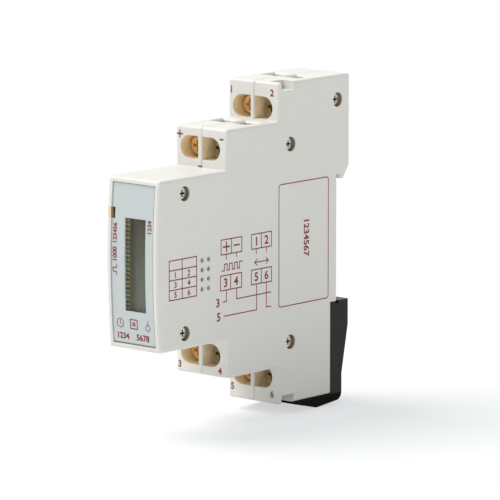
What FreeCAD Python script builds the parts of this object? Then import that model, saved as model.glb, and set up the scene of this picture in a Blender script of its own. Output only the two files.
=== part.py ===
import FreeCAD, Part
import math
import os
import Sketcher
from FreeCAD import Placement, Rotation, Vector

# Single-phase energy meter, one module wide, for a 35 mm rail.
# +X is right as seen from the front, the front faces -Y, and +Z is up.
# The origin is the centre of the face that seats on the rail.

doc = FreeCAD.newDocument("energy_meter")
sheet = doc.addObject("Spreadsheet::Sheet", "sizes")

SIZES = (
    # Case outline, seen from the side
    ("case_width", 18.0, "over both shells"),
    ("split_x", 0.15, "where the two shells meet, right of the middle"),
    ("wall", 1.5, "case wall"),
    ("end_depth", 23.35, "rail seat to the face of the end tiers"),
    ("mid_run", 20.85, "end tier face to middle tier face"),
    ("front_run", 26.0, "middle tier face to the edge of the front block"),
    ("front_bulge", 1.1, "how far the front face swells at mid height"),
    ("block_top", 23.5, "front block above the rail's centre"),
    ("block_bottom", 21.5, "front block below the rail's centre"),
    ("mid_step_up", 10.7, "middle tier above the front block"),
    ("mid_step_down", 10.2, "middle tier below the front block"),
    ("end_step_up", 10.3, "end tier above the middle tier"),
    ("end_step_down", 10.1, "end tier below the middle tier"),
    ("back_depth", 5.6, "upper back behind the rail seat"),
    ("corner_radius", 0.8, "outer edges"),
    ("seam", 0.2, "chamfer along the parting line of the tiers"),
    ("foot_gap_width", 1.3, "gap at the foot of the middle tier's seam"),
    ("foot_gap_height", 0.5, "height of that gap"),
    # Rail seat, hook and clip
    ("rail_height", 35.0, "top-hat rail over its flanges"),
    ("groove_below", 0.1, "how far the relief behind the rail's upper edge starts below the hook lip"),
    ("groove_relief", 0.2, "depth of that relief into the seat face"),
    ("rail_gap", 1.3, "slot for the rail's 1 mm flange"),
    ("rail_play", 0.15, "rail edge to the end of its slot"),
    ("hook_grip", 1.1, "how far the hook reaches over the rail"),
    ("hook_depth", 2.65, "tip of the hook behind the seat"),
    ("hook_slope", 4.1, "height of the slope under the upper back"),
    ("clip_grip", 0.8, "how far the clip reaches over the rail"),
    ("clip_recess", 2.45, "case back behind the clip, ahead of the seat"),
    ("clip_play", 0.2, "clip to case"),
    ("clip_width", 17.6, "over the clip's flanks"),
    ("clip_back", 5.2, "clip's upper back behind the seat"),
    ("clip_back_low", 2.62, "clip's lower back behind the seat"),
    ("clip_back_run", 7.0, "upright stretch under the clip's hook"),
    ("clip_back_slant", 13.1, "height of the slant below it"),
    ("foot_drop", 3.0, "foot below the case"),
    ("foot_reach", 17.3, "foot's front edge ahead of the seat"),
    ("foot_low", 7.8, "foot's lowest line ahead of the seat"),
    ("foot_edge", 0.5, "thickness of the foot's front edge"),
    ("foot_radius", 2.2, "round at the foot's heel"),
    ("foot_slot_length", 6.0, "screwdriver slot across the foot"),
    ("foot_slot_width", 2.2, "screwdriver slot along the foot"),
    ("foot_slot_inset", 1.3, "screwdriver slot behind the foot's front edge"),
    ("foot_window_play", 0.3, "wire windows in the foot, beyond the wire entries"),
    ("clip_travel", 4.0, "how far the clip is pulled down"),
    ("tongue_web", 4.0, "web of the clip's tongue"),
    ("tongue_flange", 8.6, "flange of the clip's tongue"),
    ("tongue_thick", 1.2, "thickness of that flange"),
    ("tongue_height", 8.0, "height of the tongue"),
    ("tongue_drop", 1.4, "tongue below the seat's lower edge"),
    ("spring_radius", 2.0, "middle of the spring's wire"),
    ("spring_wire", 0.45, "spring wire"),
    ("spring_turns", 4.0, "turns of the spring"),
    ("spring_play", 0.05, "spring to its seats"),
    # Front frame, panel and display
    ("frame_side", 1.55, "frame beside the panel"),
    ("frame_end", 1.35, "frame above and below the panel"),
    ("panel_gap", 0.12, "panel to frame"),
    ("panel_sink", 0.3, "panel behind the frame's face"),
    ("panel_seat", 1.3, "panel seat behind the block's edge"),
    ("ledge", 0.85, "ledge that carries the panel"),
    ("front_wall", 3.0, "front wall of the block"),
    ("window_x", 0.85, "middle of the display, right of the middle"),
    ("window_z", 0.9, "middle of the display above the rail's centre"),
    ("window_width", 7.2, "display window across"),
    ("window_height", 24.4, "display window up"),
    ("window_sink", 0.35, "window behind the panel's face"),
    ("window_lip", 0.6, "panel in front of the window's flange"),
    ("window_flange", 0.6, "flange beyond the opening, right, above and below"),
    ("window_flange_left", 2.0, "flange beyond the opening on the pin side"),
    ("lamp_z", 14.05, "pulse lamp above the rail's centre"),
    ("lamp_height", 2.9, "pulse lamp window"),
    ("lamp_width", 1.2, "pulse lamp window in the panel"),
    ("lamp_cheek", 0.95, "lamp guide showing in the frame"),
    ("lamp_sink", 1.0, "lamp window behind the panel's face"),
    ("lamp_foot", 0.75, "lamp guide's foot over the lamp"),
    ("lamp_play", 0.1, "lamp to its guide"),
    ("lcd_margin", 2.65, "lower glass beyond the window on the pin side"),
    ("lcd_right_margin", 1.0, "glass beyond the window on the right"),
    ("lcd_long_margin", 2.4, "glass above and below the window"),
    ("lcd_ledge", 1.95, "contact ledge of the lower glass"),
    ("lcd_sheet", 0.9, "one glass of the display"),
    ("backlight_depth", 2.3, "backlight and holder"),
    ("pin_pitch", 1.27, "display pins"),
    ("pin_count", 18.0, "display pins in a row"),
    ("pin_size", 0.45, "display pin"),
    ("display_board_thick", 1.0, "display board"),
    ("display_board_margin", 1.2, "display board to the block's walls"),
    # Terminals
    ("left_axis", 4.2, "left terminals, left of the middle"),
    ("right_axis", 3.5, "right terminals, right of the middle"),
    ("mid_inset", 5.6, "middle terminals inside their tier's end"),
    ("end_inset", 7.1, "end terminals inside their tier's end"),
    ("partition", 1.2, "rib between two openings"),
    ("driver_radius", 3.05, "round end of a screwdriver opening"),
    ("head_depth", 3.4, "screw head behind the tier face"),
    ("head_height", 1.8, "screw head"),
    ("shoulder", 0.8, "case shoulder under the screw head"),
    ("shoulder_play", 0.15, "screw shank to the hole in the shoulder"),
    ("head_radius", 2.3, "screw head"),
    ("recess_depth", 1.1, "cross recess in the head"),
    ("recess_length", 3.0, "arm of the cross recess"),
    ("recess_width", 0.8, "arm of the cross recess"),
    ("thread_radius", 1.7, "screw shank"),
    ("screw_play", 0.05, "screw to cage and bar"),
    ("cage_width", 5.8, "over the cage"),
    ("cage_side", 0.6, "cage side walls"),
    ("cage_nut", 1.1, "threaded wall of the cage"),
    ("cage_foot", 1.0, "clamping wall of the cage"),
    ("cage_height", 5.8, "along the wire"),
    ("wire_space", 5.0, "open clamp"),
    ("clamp_travel", 3.05, "cage travel"),
    ("clamp_rest", 0.1, "closed cage to the shoulder"),
    ("room_play", 0.3, "cage to its room"),
    ("bar_thick", 1.0, "contact bar"),
    ("bar_gap", 0.15, "open cage to the contact bar"),
    ("bar_width", 4.0, "contact bar"),
    ("bar_play", 0.1, "contact bar to its slot"),
    ("entry_width", 4.9, "wire entry across"),
    ("entry_funnel", 0.5, "slope round a wire entry"),
    # Case screws and the holes for the service header
    ("case_screw_radius", 1.0, "shank of a case screw"),
    ("case_screw_head", 1.5, "head radius"),
    ("case_head_height", 1.2, "head"),
    ("case_head_sink", 0.95, "head behind the case's side"),
    ("case_screw_length", 13.0, "shank"),
    ("counterbore", 1.95, "hole round a head"),
    ("post_radius", 2.35, "screw post"),
    ("clear_radius", 1.15, "shank hole in the right shell"),
    ("front_screw_run", 9.45, "front screws behind the block's edge"),
    ("front_screw_inset", 4.15, "front screws inside the block's end"),
    ("rear_screw_run", 4.6, "rear screws behind the end tier's face"),
    ("rear_screw_inset", 6.4, "rear screws inside the middle tier's end"),
    ("back_screw_inset", 5.2, "back screw ahead of the upper back"),
    ("back_screw_drop", 6.7, "back screw below the top"),
    ("header_pitch", 2.54, "service header"),
    ("header_y", 52.75, "middle of the service header ahead of the seat"),
    ("header_z", 2.72, "middle of the service header below the rail's centre"),
    ("header_hole", 0.6, "radius of a hole over the header"),
    # Notches for a terminal cover
    ("notch_start", 0.95, "behind the end tier's face"),
    ("notch_length", 4.9, "along the case"),
    ("notch_drop", 2.3, "down from the end"),
    ("notch_reach", 4.1, "in from the side"),
    # Main board and what stands on it
    ("board_left", 0.2, "left face of the main board, left of the middle"),
    ("board_thick", 1.2, "main board"),
    ("board_front", 11.9, "main board behind the block's edge"),
    ("board_back", 10.5, "main board ahead of the seat"),
    ("board_top", 2.3, "main board below the block's top"),
    ("board_bottom", 6.0, "main board above the block's bottom"),
    ("rest_radius", 1.25, "board rests"),
    ("tab_height", 2.6, "soldered tab of a contact bar"),
    ("shunt_thick", 1.4, "shunt"),
    ("shunt_gap", 0.9, "shunt under the board"),
    ("link_width", 2.5, "link between the boards"),
    ("link_height", 12.0, "link between the boards"),
    ("link_overlap", 2.4, "link along the main board"),
)


class Size:
    # A number together with the expression that gives it in the sheet
    def __init__(self, value, text):
        self.value = value
        self.text = text

    def __add__(self, other):
        other = as_size(other)
        return Size(self.value + other.value, f"({self.text} + {other.text})")

    def __sub__(self, other):
        other = as_size(other)
        return Size(self.value - other.value, f"({self.text} - {other.text})")

    def __mul__(self, other):
        other = as_size(other)
        return Size(self.value * other.value, f"{self.text} * {other.text}")

    def __truediv__(self, other):
        other = as_size(other)
        return Size(self.value / other.value, f"{self.text} / ({other.text})")

    def __radd__(self, other):
        return as_size(other) + self

    def __rsub__(self, other):
        return as_size(other) - self

    def __rmul__(self, other):
        return as_size(other) * self

    def __neg__(self):
        return Size(-self.value, f"(0 - {self.text})")


def as_size(thing):
    return thing if isinstance(thing, Size) else Size(float(thing), repr(float(thing)))


class Sizes:
    pass


s = Sizes()
for row, (alias, value, note) in enumerate(SIZES, start=1):
    sheet.set(f"A{row}", note)
    sheet.set(f"B{row}", str(value))
    sheet.setAlias(f"B{row}", alias)
    setattr(s, alias, Size(value, f"sizes.{alias}"))
doc.recompute()


def bind(thing, prop, size):
    thing.setExpression(prop, as_size(size).text)


# Part primitives, placed by their low and high sides

def prism(name, axis, start, length, centre, radius, sides=8):
    piece = doc.addObject("Part::Prism", name)
    piece.Polygon = sides
    piece.Placement = Placement(Vector(), TURN[axis])
    place = dict(zip([a for a in "xyz" if a != axis], centre))
    place[axis] = start
    for letter, size in place.items():
        bind(piece, "Placement.Base." + letter, size)
    bind(piece, "Height", length)
    bind(piece, "Circumradius", radius)
    return piece


def block(name, x, y, z):
    piece = doc.addObject("Part::Box", name)
    for prop, axis, (low, high) in (("Length", "x", x), ("Width", "y", y), ("Height", "z", z)):
        bind(piece, prop, as_size(high) - low)
        bind(piece, "Placement.Base." + axis, low)
    return piece


TURN = {"x": Rotation(Vector(0, 1, 0), 90), "y": Rotation(Vector(1, 0, 0), -90), "z": Rotation()}


def rod(name, axis, start, length, centre, radius):
    piece = doc.addObject("Part::Cylinder", name)
    piece.Placement = Placement(Vector(), TURN[axis])
    place = dict(zip([a for a in "xyz" if a != axis], centre))
    place[axis] = start
    for letter, size in place.items():
        bind(piece, "Placement.Base." + letter, size)
    bind(piece, "Height", length)
    bind(piece, "Radius", radius)
    return piece


def fuse(name, pieces):
    whole = doc.addObject("Part::MultiFuse", name)
    whole.Shapes = pieces
    return whole


def cut(name, base, tool):
    whole = doc.addObject("Part::Cut", name)
    whole.Base = base
    whole.Tool = tool
    return whole


def group(name, pieces):
    whole = doc.addObject("Part::Compound", name)
    whole.Links = pieces
    return whole


# PartDesign bodies, drawn on their own origin planes

def new_body(name):
    return doc.addObject("PartDesign::Body", name)


def sketch_on(body, name, role, offset):
    sketch = body.newObject("Sketcher::SketchObject", name)
    plane = next(item for item in body.Origin.OriginFeatures if item.Role == role)
    sketch.AttachmentSupport = [(plane, "")]
    sketch.MapMode = "FlatFace"
    bind(sketch, "AttachmentOffset.Base.z", offset)
    return sketch


def pin_point(sketch, index, place, u, v):
    tag = f"g{index}_{place}"
    for letter, kind, size in (("u", "DistanceX", as_size(u)), ("v", "DistanceY", as_size(v))):
        at = sketch.addConstraint(Sketcher.Constraint(kind, -1, 1, index, place, size.value))
        sketch.renameConstraint(at, tag + letter)
        bind(sketch, "Constraints." + tag + letter, size)


def draw_outline(sketch, corners, arcs=None):
    # Corners run counter-clockwise; arcs gives the centre's u for an arc that starts at a corner
    arcs = arcs or {}
    spots = [Vector(as_size(u).value, as_size(v).value, 0) for u, v in corners]
    first = sketch.GeometryCount
    last = len(corners) - 1
    for i, start in enumerate(spots):
        end = spots[0 if i == last else i + 1]
        if i in arcs:
            centre = Vector(as_size(arcs[i]).value, (start.y + end.y) / 2, 0)
            low = math.atan2(start.y - centre.y, start.x - centre.x)
            high = math.atan2(end.y - centre.y, end.x - centre.x)
            high += 2 * math.pi if high < low else 0
            circle = Part.Circle(centre, Vector(0, 0, 1), (start - centre).Length)
            sketch.addGeometry(Part.ArcOfCircle(circle, low, high), False)
        else:
            sketch.addGeometry(Part.LineSegment(start, end), False)
    for i, (u, v) in enumerate(corners):
        following = first if i == last else first + i + 1
        sketch.addConstraint(Sketcher.Constraint("Coincident", first + i, 2, following, 1))
        pin_point(sketch, first + i, 1, u, v)
        if i in arcs:
            name = f"g{first + i}_centre"
            at = sketch.addConstraint(
                Sketcher.Constraint("DistanceX", -1, 1, first + i, 3, as_size(arcs[i]).value))
            sketch.renameConstraint(at, name)
            bind(sketch, "Constraints." + name, arcs[i])


def draw_rectangle(sketch, u, v):
    draw_outline(sketch, [(u[0], v[0]), (u[1], v[0]), (u[1], v[1]), (u[0], v[1])])


def draw_circle(sketch, u, v, radius):
    centre = Vector(as_size(u).value, as_size(v).value, 0)
    index = sketch.addGeometry(Part.Circle(centre, Vector(0, 0, 1), as_size(radius).value), False)
    pin_point(sketch, index, 3, u, v)
    at = sketch.addConstraint(Sketcher.Constraint("Radius", index, as_size(radius).value))
    sketch.renameConstraint(at, f"g{index}_radius")
    bind(sketch, f"Constraints.g{index}_radius", radius)


def draw_polygon(sketch, u, v, radius, sides=8):
    # Regular polygon round a circle, where a hidden round shape needs no smooth wall
    reach = radius / math.cos(math.pi / sides)
    turns = [math.pi * (2 * k + 1) / sides for k in range(sides)]
    draw_outline(sketch, [(u + reach * math.cos(a), v + reach * math.sin(a)) for a in turns])


def pad(body, sketch, length):
    feature = body.newObject("PartDesign::Pad", sketch.Name + "_pad")
    feature.Profile = sketch
    bind(feature, "Length", length)
    return feature


pockets = []


def pocket(body, sketch, length):
    # Cuts from the sketch's plane against its normal
    feature = body.newObject("PartDesign::Pocket", sketch.Name + "_cut")
    feature.Profile = sketch
    bind(feature, "Length", length)
    pockets.append(feature)
    return feature


def dress(body, kind, name, size_name, size, wanted):
    # Fillet or chamfer on the edges of the body's last feature that wanted() picks
    doc.recompute()
    base = body.Tip
    names = [f"Edge{i}" for i, edge in enumerate(base.Shape.Edges, start=1) if wanted(edge)]
    feature = body.newObject("PartDesign::" + kind, name)
    feature.Base = (base, names)
    bind(feature, size_name, size)
    return feature


def close(a, b):
    return abs(a - as_size(b).value) < 1e-4


# Places that several pieces share

half = s.case_width / 2
mid_depth = s.end_depth + s.mid_run
front_depth = mid_depth + s.front_run
mid_top = s.block_top + s.mid_step_up
mid_bottom = s.block_bottom + s.mid_step_down
case_top = mid_top + s.end_step_up
case_bottom = mid_bottom + s.end_step_down
hook_lip = s.rail_height / 2 - s.hook_grip
slot_top = s.rail_height / 2 + s.rail_play
groove_start = hook_lip - s.groove_below
slot_bottom = s.rail_height / 2 + s.rail_play
slope_top = hook_lip + s.hook_slope
clip_top = s.rail_height / 2 - s.clip_grip
seat_bottom = clip_top
inner = half - s.wall

block_mid = (s.block_top - s.block_bottom) / 2
block_half = (s.block_top + s.block_bottom) / 2
front_radius = (block_half * block_half + s.front_bulge * s.front_bulge) / (2 * s.front_bulge)
front_centre = front_radius - front_depth - s.front_bulge
panel_face = front_depth + s.front_bulge - s.panel_sink
panel_back = front_depth - s.panel_seat

head_end = s.head_depth + s.head_height
room_start = head_end + s.shoulder
cage_start = room_start + s.clamp_rest + s.clamp_travel
cage_nut_end = cage_start + s.cage_nut
bar_start = cage_nut_end + s.bar_gap
bar_end = bar_start + s.bar_thick
cage_end = bar_end + s.wire_space + s.cage_foot
room_end = cage_end + s.room_play
shank_length = bar_start - s.screw_play - head_end

board_x = (-s.board_left, s.board_thick - s.board_left)
board_y = (s.board_front - front_depth, -s.board_back)
board_z = (s.board_bottom - s.block_bottom, s.block_top - s.board_top)
floor_z = s.wall - mid_bottom


class Terminal:
    def __init__(self, name, tier, up, left):
        self.name = name
        self.up = up
        self.left = left
        self.face = -(mid_depth if tier == "mid" else s.end_depth)
        inset = s.mid_inset if tier == "mid" else s.end_inset
        if up:
            self.outer = mid_top if tier == "mid" else case_top
            self.z = self.outer - inset
        else:
            self.outer = -(mid_bottom if tier == "mid" else case_bottom)
            self.z = self.outer + inset
        self.x = -s.left_axis if left else s.right_axis
        self.tier = tier

    def at(self, depth):
        return self.face + depth


TERMINALS = (
    Terminal("bus_a", "end", True, True),
    Terminal("bus_b", "end", True, False),
    Terminal("pulse_plus", "mid", True, True),
    Terminal("pulse_minus", "mid", True, False),
    Terminal("line_in", "mid", False, True),
    Terminal("line_out", "mid", False, False),
    Terminal("neutral_in", "end", False, True),
    Terminal("neutral_out", "end", False, False),
)

CASE_SCREWS = (
    (s.front_screw_run - front_depth, s.block_top - s.front_screw_inset),
    (s.front_screw_run - front_depth, s.front_screw_inset - s.block_bottom),
    (s.rear_screw_run - s.end_depth, mid_top - s.rear_screw_inset),
    (s.rear_screw_run - s.end_depth, s.rear_screw_inset - mid_bottom),
    (s.back_depth - s.back_screw_inset, case_top - s.back_screw_drop),
)


# The two case shells

def case_outline():
    return [
        (-front_depth, s.block_top), (-front_depth, -s.block_bottom),
        (-mid_depth, -s.block_bottom), (-mid_depth, -mid_bottom),
        (-s.end_depth, -mid_bottom), (-s.end_depth, -case_bottom),
        (-s.clip_recess, -case_bottom), (-s.clip_recess, -seat_bottom),
        (as_size(0), -seat_bottom), (as_size(0), groove_start),
        (-s.groove_relief, groove_start), (-s.groove_relief, slot_top),
        (s.rail_gap, slot_top), (s.rail_gap, hook_lip),
        (s.hook_depth, hook_lip), (s.back_depth, slope_top),
        (s.back_depth, case_top), (-s.end_depth, case_top),
        (-s.end_depth, mid_top), (-mid_depth, mid_top),
        (-mid_depth, s.block_top),
    ]


def cavity_outline():
    front = s.front_wall - front_depth
    step = s.wall - s.end_depth
    top = mid_top - s.wall
    return [
        (front, s.block_top - s.wall), (front, s.wall - s.block_bottom),
        (step, s.wall - s.block_bottom), (step, floor_z),
        (-s.clip_recess - s.wall, floor_z), (-s.clip_recess - s.wall, s.wall - seat_bottom),
        (-s.wall, s.wall - seat_bottom), (-s.wall, slot_top + s.wall),
        (s.back_depth - s.wall, slope_top + s.wall), (s.back_depth - s.wall, top),
        (step, top), (step, s.block_top - s.wall),
    ]


def driver_outline(terminal):
    # D-shaped screwdriver opening, round towards the case's side
    low, high = terminal.z - s.driver_radius, terminal.z + s.driver_radius
    if terminal.left:
        rib = s.split_x - s.partition
        return [(terminal.x, high), (terminal.x, low), (rib, low), (rib, high)]
    return [(terminal.x, low), (terminal.x, high), (s.split_x, high), (s.split_x, low)]


def case_shell(name, left):
    body = new_body(name)
    low, high = (-half, s.split_x) if left else (s.split_x, half)
    outer = -half if left else half
    sketch = sketch_on(body, name + "_outline", "YZ_Plane", low)
    draw_outline(sketch, case_outline(), {0: front_centre})
    pad(body, sketch, high - low)

    rounded = {(-front_depth.value, s.block_top.value), (-front_depth.value, -s.block_bottom.value),
               (-mid_depth.value, mid_top.value), (-mid_depth.value, -mid_bottom.value),
               (-s.end_depth.value, case_top.value), (-s.end_depth.value, -case_bottom.value),
               (s.back_depth.value, case_top.value)}

    def corner_edge(edge):
        ends = [v.Point for v in edge.Vertexes]
        along = len(ends) == 2 and abs(ends[0].x - ends[1].x) > 1
        return along and any(close(ends[0].y, y) and close(ends[0].z, z) for y, z in rounded)

    dress(body, "Fillet", name + "_corners", "Radius", s.corner_radius, corner_edge)

    def side_edge(edge):
        centre = edge.CenterOfMass
        behind = centre.y > -s.clip_recess.value - 0.01 and centre.z < slope_top.value + 0.01
        return all(close(v.Point.x, outer) for v in edge.Vertexes) and not behind

    dress(body, "Fillet", name + "_sides", "Radius", s.corner_radius, side_edge)

    def seam_edge(edge):
        centre = edge.CenterOfMass
        tiers = centre.y > -mid_depth.value - 0.01 and centre.y < -s.clip_recess.value - 0.01
        on_top = centre.z > s.block_top.value + 0.01 or centre.z < -s.block_bottom.value - 0.01
        return tiers and on_top and all(close(v.Point.x, s.split_x) for v in edge.Vertexes)

    dress(body, "Chamfer", name + "_seam", "Size", s.seam, seam_edge)

    cavity_high = s.split_x if left else inner
    cavity_low = -inner if left else s.split_x
    sketch = sketch_on(body, name + "_cavity", "YZ_Plane", cavity_high)
    draw_outline(sketch, cavity_outline())
    pocket(body, sketch, cavity_high - cavity_low)

    # Screw posts, and rests that hold the main board between the shells
    post_low = -inner if left else s.split_x
    sketch = sketch_on(body, name + "_posts", "YZ_Plane", post_low)
    for y, z in CASE_SCREWS[:4]:
        draw_polygon(sketch, y, z, s.post_radius)
    pad(body, sketch, inner + s.split_x if left else inner - s.split_x)
    sketch = sketch_on(body, name + "_rests", "YZ_Plane", -inner if left else board_x[1])
    for y in (board_y[0] + 2 * s.rest_radius, board_y[1] - 5 * s.rest_radius):
        for z in (board_z[0] + 2 * s.rest_radius, board_z[1] - 2 * s.rest_radius):
            draw_polygon(sketch, y, z, s.rest_radius, 4)
    pad(body, sketch, inner + board_x[0] if left else inner - board_x[1])

    # Screw holes: clearance and counterbore on the right, thread on the left
    shank_end = half - s.case_head_sink - s.case_head_height - s.case_screw_length
    if left:
        sketch = sketch_on(body, name + "_threads", "YZ_Plane", s.split_x)
        for y, z in CASE_SCREWS:
            draw_polygon(sketch, y, z, s.case_screw_radius)
        pocket(body, sketch, s.split_x - shank_end + s.screw_play)
    else:
        sketch = sketch_on(body, name + "_bores", "YZ_Plane", half)
        for y, z in CASE_SCREWS:
            draw_polygon(sketch, y, z, s.clear_radius)
        pocket(body, sketch, s.case_width)
        sketch = sketch_on(body, name + "_counterbores", "YZ_Plane", half)
        for y, z in CASE_SCREWS:
            draw_circle(sketch, y, z, s.counterbore)
        pocket(body, sketch, s.case_head_sink + s.case_head_height)
        sketch = sketch_on(body, name + "_header_holes", "YZ_Plane", half)
        for column in (-0.5, 0.5):
            for line in (-1.5, -0.5, 0.5, 1.5):
                draw_polygon(sketch, column * s.header_pitch - s.header_y,
                             line * s.header_pitch - s.header_z, s.header_hole)
        pocket(body, sketch, 2 * s.wall)
        sketch = sketch_on(body, name + "_notches", "YZ_Plane", half)
        run = (s.notch_start - s.end_depth, s.notch_start + s.notch_length - s.end_depth)
        draw_rectangle(sketch, run, (case_top - s.notch_drop, case_top + s.wall))
        draw_rectangle(sketch, run, (-case_bottom - s.wall, s.notch_drop - case_bottom))
        pocket(body, sketch, s.notch_reach)

    if left:
        sketch = sketch_on(body, name + "_seam_foot", "XZ_Plane", mid_depth)
        draw_rectangle(sketch, (s.split_x - s.foot_gap_width, s.split_x),
                       (s.block_top, s.block_top + s.foot_gap_height))
        pocket(body, sketch, s.foot_gap_width)

    # Terminal openings
    own = [t for t in TERMINALS if t.left == left]
    for tier in ("mid", "end"):
        pair = [t for t in own if t.tier == tier]
        sketch = sketch_on(body, f"{name}_{tier}_drivers", "XZ_Plane", -pair[0].face)
        for t in pair:
            draw_outline(sketch, driver_outline(t), {0: t.x})
        pocket(body, sketch, head_end)
        sketch = sketch_on(body, f"{name}_{tier}_shoulders", "XZ_Plane", -pair[0].face)
        for t in pair:
            draw_polygon(sketch, t.x, t.z, s.thread_radius + s.shoulder_play)
        pocket(body, sketch, room_start + s.shoulder)
    room_high = s.split_x - s.partition if left else s.right_axis + s.cage_width / 2 + s.room_play
    room_low = -s.left_axis - s.cage_width / 2 - s.room_play if left else s.split_x
    sketch = sketch_on(body, name + "_rooms", "YZ_Plane", room_high)
    for t in own:
        tall = s.cage_height / 2 + s.room_play
        draw_rectangle(sketch, (t.at(room_start), t.at(room_end)), (t.z - tall, t.z + tall))
    pocket(body, sketch, room_high - room_low)
    axis = -s.left_axis if left else s.right_axis
    sketch = sketch_on(body, name + "_entries", "YZ_Plane", axis + s.entry_width / 2)
    for t in own:
        span = (t.z, t.outer + s.wall) if t.up else (t.outer - s.wall, t.z)
        draw_rectangle(sketch, (t.at(bar_end), t.at(bar_end + s.wire_space)), span)
    pocket(body, sketch, s.entry_width)

    def funnel_edge(edge):
        ends = [v.Point for v in edge.Vertexes]
        for t in own:
            near = [abs(p.x - t.x.value) < s.entry_width.value / 2 + 0.01 and close(p.z, t.outer)
                    and t.at(bar_end).value - 0.01 < p.y < t.at(bar_end + s.wire_space).value + 0.01
                    for p in ends]
            if all(near):
                return True
        return False

    dress(body, "Chamfer", name + "_funnels", "Size", s.entry_funnel, funnel_edge)
    sketch = sketch_on(body, name + "_bar_slots", "YZ_Plane", axis + s.bar_width / 2 + s.bar_play)
    for t in own:
        reach = mid_top - 2 * s.wall if t.up and t.tier == "end" else s.block_top - 2 * s.wall
        fall = 2 * s.wall - mid_bottom if t.tier == "end" else 2 * s.wall - s.block_bottom
        span = (reach, t.z) if t.up else (t.z, fall)
        draw_rectangle(sketch, (t.at(bar_start - s.bar_play), t.at(bar_end + s.bar_play)), span)
    pocket(body, sketch, s.bar_width + 2 * s.bar_play)

    # Frame and ledge of the front panel, and the lamp's seat in the frame
    opening = half - s.frame_side
    sketch = sketch_on(body, name + "_panel_opening", "XZ_Plane", front_depth + 2 * s.front_bulge)
    draw_rectangle(sketch, (-opening, opening),
                   (s.frame_end - s.block_bottom, s.block_top - s.frame_end))
    pocket(body, sketch, 2 * s.front_bulge + s.panel_seat)
    sketch = sketch_on(body, name + "_front_window", "XZ_Plane", front_depth)
    draw_rectangle(sketch, (s.ledge - opening, opening - s.ledge),
                   (s.frame_end + s.ledge - s.block_bottom, s.block_top - s.frame_end - s.ledge))
    pocket(body, sketch, 2 * s.front_wall)
    if left:
        sketch = sketch_on(body, name + "_lamp_seat", "XZ_Plane", front_depth + 2 * s.front_bulge)
        draw_rectangle(sketch, (-opening - s.lamp_cheek, s.lamp_width - opening),
                       (s.lamp_z - s.lamp_height / 2, s.lamp_z + s.lamp_height / 2))
        pocket(body, sketch, 2 * s.front_bulge + s.front_wall)

    # Slot in the back for the clip's tongue
    slot_half = s.tongue_web / 2 + s.clip_play
    sketch = sketch_on(body, name + "_tongue_slot", "XZ_Plane", as_size(0))
    draw_rectangle(sketch, (-slot_half, slot_half),
                   (-(seat_bottom + s.tongue_drop + s.tongue_height + s.clip_travel + s.clip_play),
                    -seat_bottom + s.clip_play - s.tongue_drop))
    feature = pocket(body, sketch, s.clip_recess + 2 * s.wall)
    feature.Reversed = True
    return body


case_left = case_shell("case_left_shell", True)
case_right = case_shell("case_right_shell", False)


# Front panel, window and lamp

def label_panel():
    body = new_body("label_panel")
    panel_half = half - s.frame_side - s.panel_gap
    top = s.block_top - s.frame_end - s.panel_gap
    bottom = s.frame_end + s.panel_gap - s.block_bottom
    reach = (top - bottom) / 2
    # The face keeps the frame's curve, set back by panel_sink
    face_centre = front_centre + s.panel_sink
    edge = face_centre.value - math.sqrt(front_radius.value ** 2 - reach.value ** 2)
    edge_drop = reach * reach / (2 * front_radius)
    corner = -panel_face + edge_drop
    radius = (reach * reach + edge_drop * edge_drop) / (2 * edge_drop)
    sketch = sketch_on(body, "panel_outline", "YZ_Plane", -panel_half)
    draw_outline(sketch, [(corner, top), (corner, bottom), (-panel_back, bottom), (-panel_back, top)],
                 {0: radius - panel_face})
    pad(body, sketch, 2 * panel_half)
    sketch = sketch_on(body, "panel_cutouts", "XZ_Plane", front_depth + 2 * s.front_bulge)
    draw_rectangle(sketch, window_x, window_z)
    draw_rectangle(sketch, (-half, s.frame_side + s.lamp_width - half),
                   (s.lamp_z - s.lamp_height / 2, s.lamp_z + s.lamp_height / 2))
    pocket(body, sketch, 2 * s.front_bulge + 2 * s.panel_seat)
    sketch = sketch_on(body, "panel_flange_seat", "XZ_Plane", panel_face - s.window_lip)
    draw_rectangle(sketch, flange_x, flange_z)
    pocket(body, sketch, panel_face - panel_back)
    return body


# The window shows in the panel's opening and is held by a flange behind its edge
window_x = (s.window_x - s.window_width / 2, s.window_x + s.window_width / 2)
window_z = (s.window_z - s.window_height / 2, s.window_z + s.window_height / 2)
flange_x = (window_x[0] - s.window_flange_left, window_x[1] + s.window_flange)
flange_z = (window_z[0] - s.window_flange, window_z[1] + s.window_flange)
panel = label_panel()
window = fuse("display_window", [
    block("window_plate", window_x, (s.window_sink - panel_face, -panel_back), window_z),
    block("window_edge", flange_x, (s.window_lip - panel_face, -panel_back), flange_z),
])

lamp_x = (s.frame_side - half - s.lamp_cheek, s.frame_side - half, s.frame_side + s.lamp_width - half)
lamp_z = (s.lamp_z - s.lamp_height / 2, s.lamp_z + s.lamp_height / 2)
pulse_guide = fuse("pulse_guide", [
    block("pulse_cheek", (lamp_x[0], lamp_x[1]), (-panel_face, s.front_wall - front_depth), lamp_z),
    block("pulse_face", (lamp_x[1], lamp_x[2]), (s.lamp_sink - panel_face, s.front_wall - front_depth),
          lamp_z),
    block("pulse_foot", (lamp_x[1], lamp_x[2] + s.lamp_foot),
          (s.front_wall - s.lamp_foot - front_depth, s.front_wall - front_depth), lamp_z),
])

# Display: two glasses, pins on the lower one's ledge, backlight and board

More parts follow.
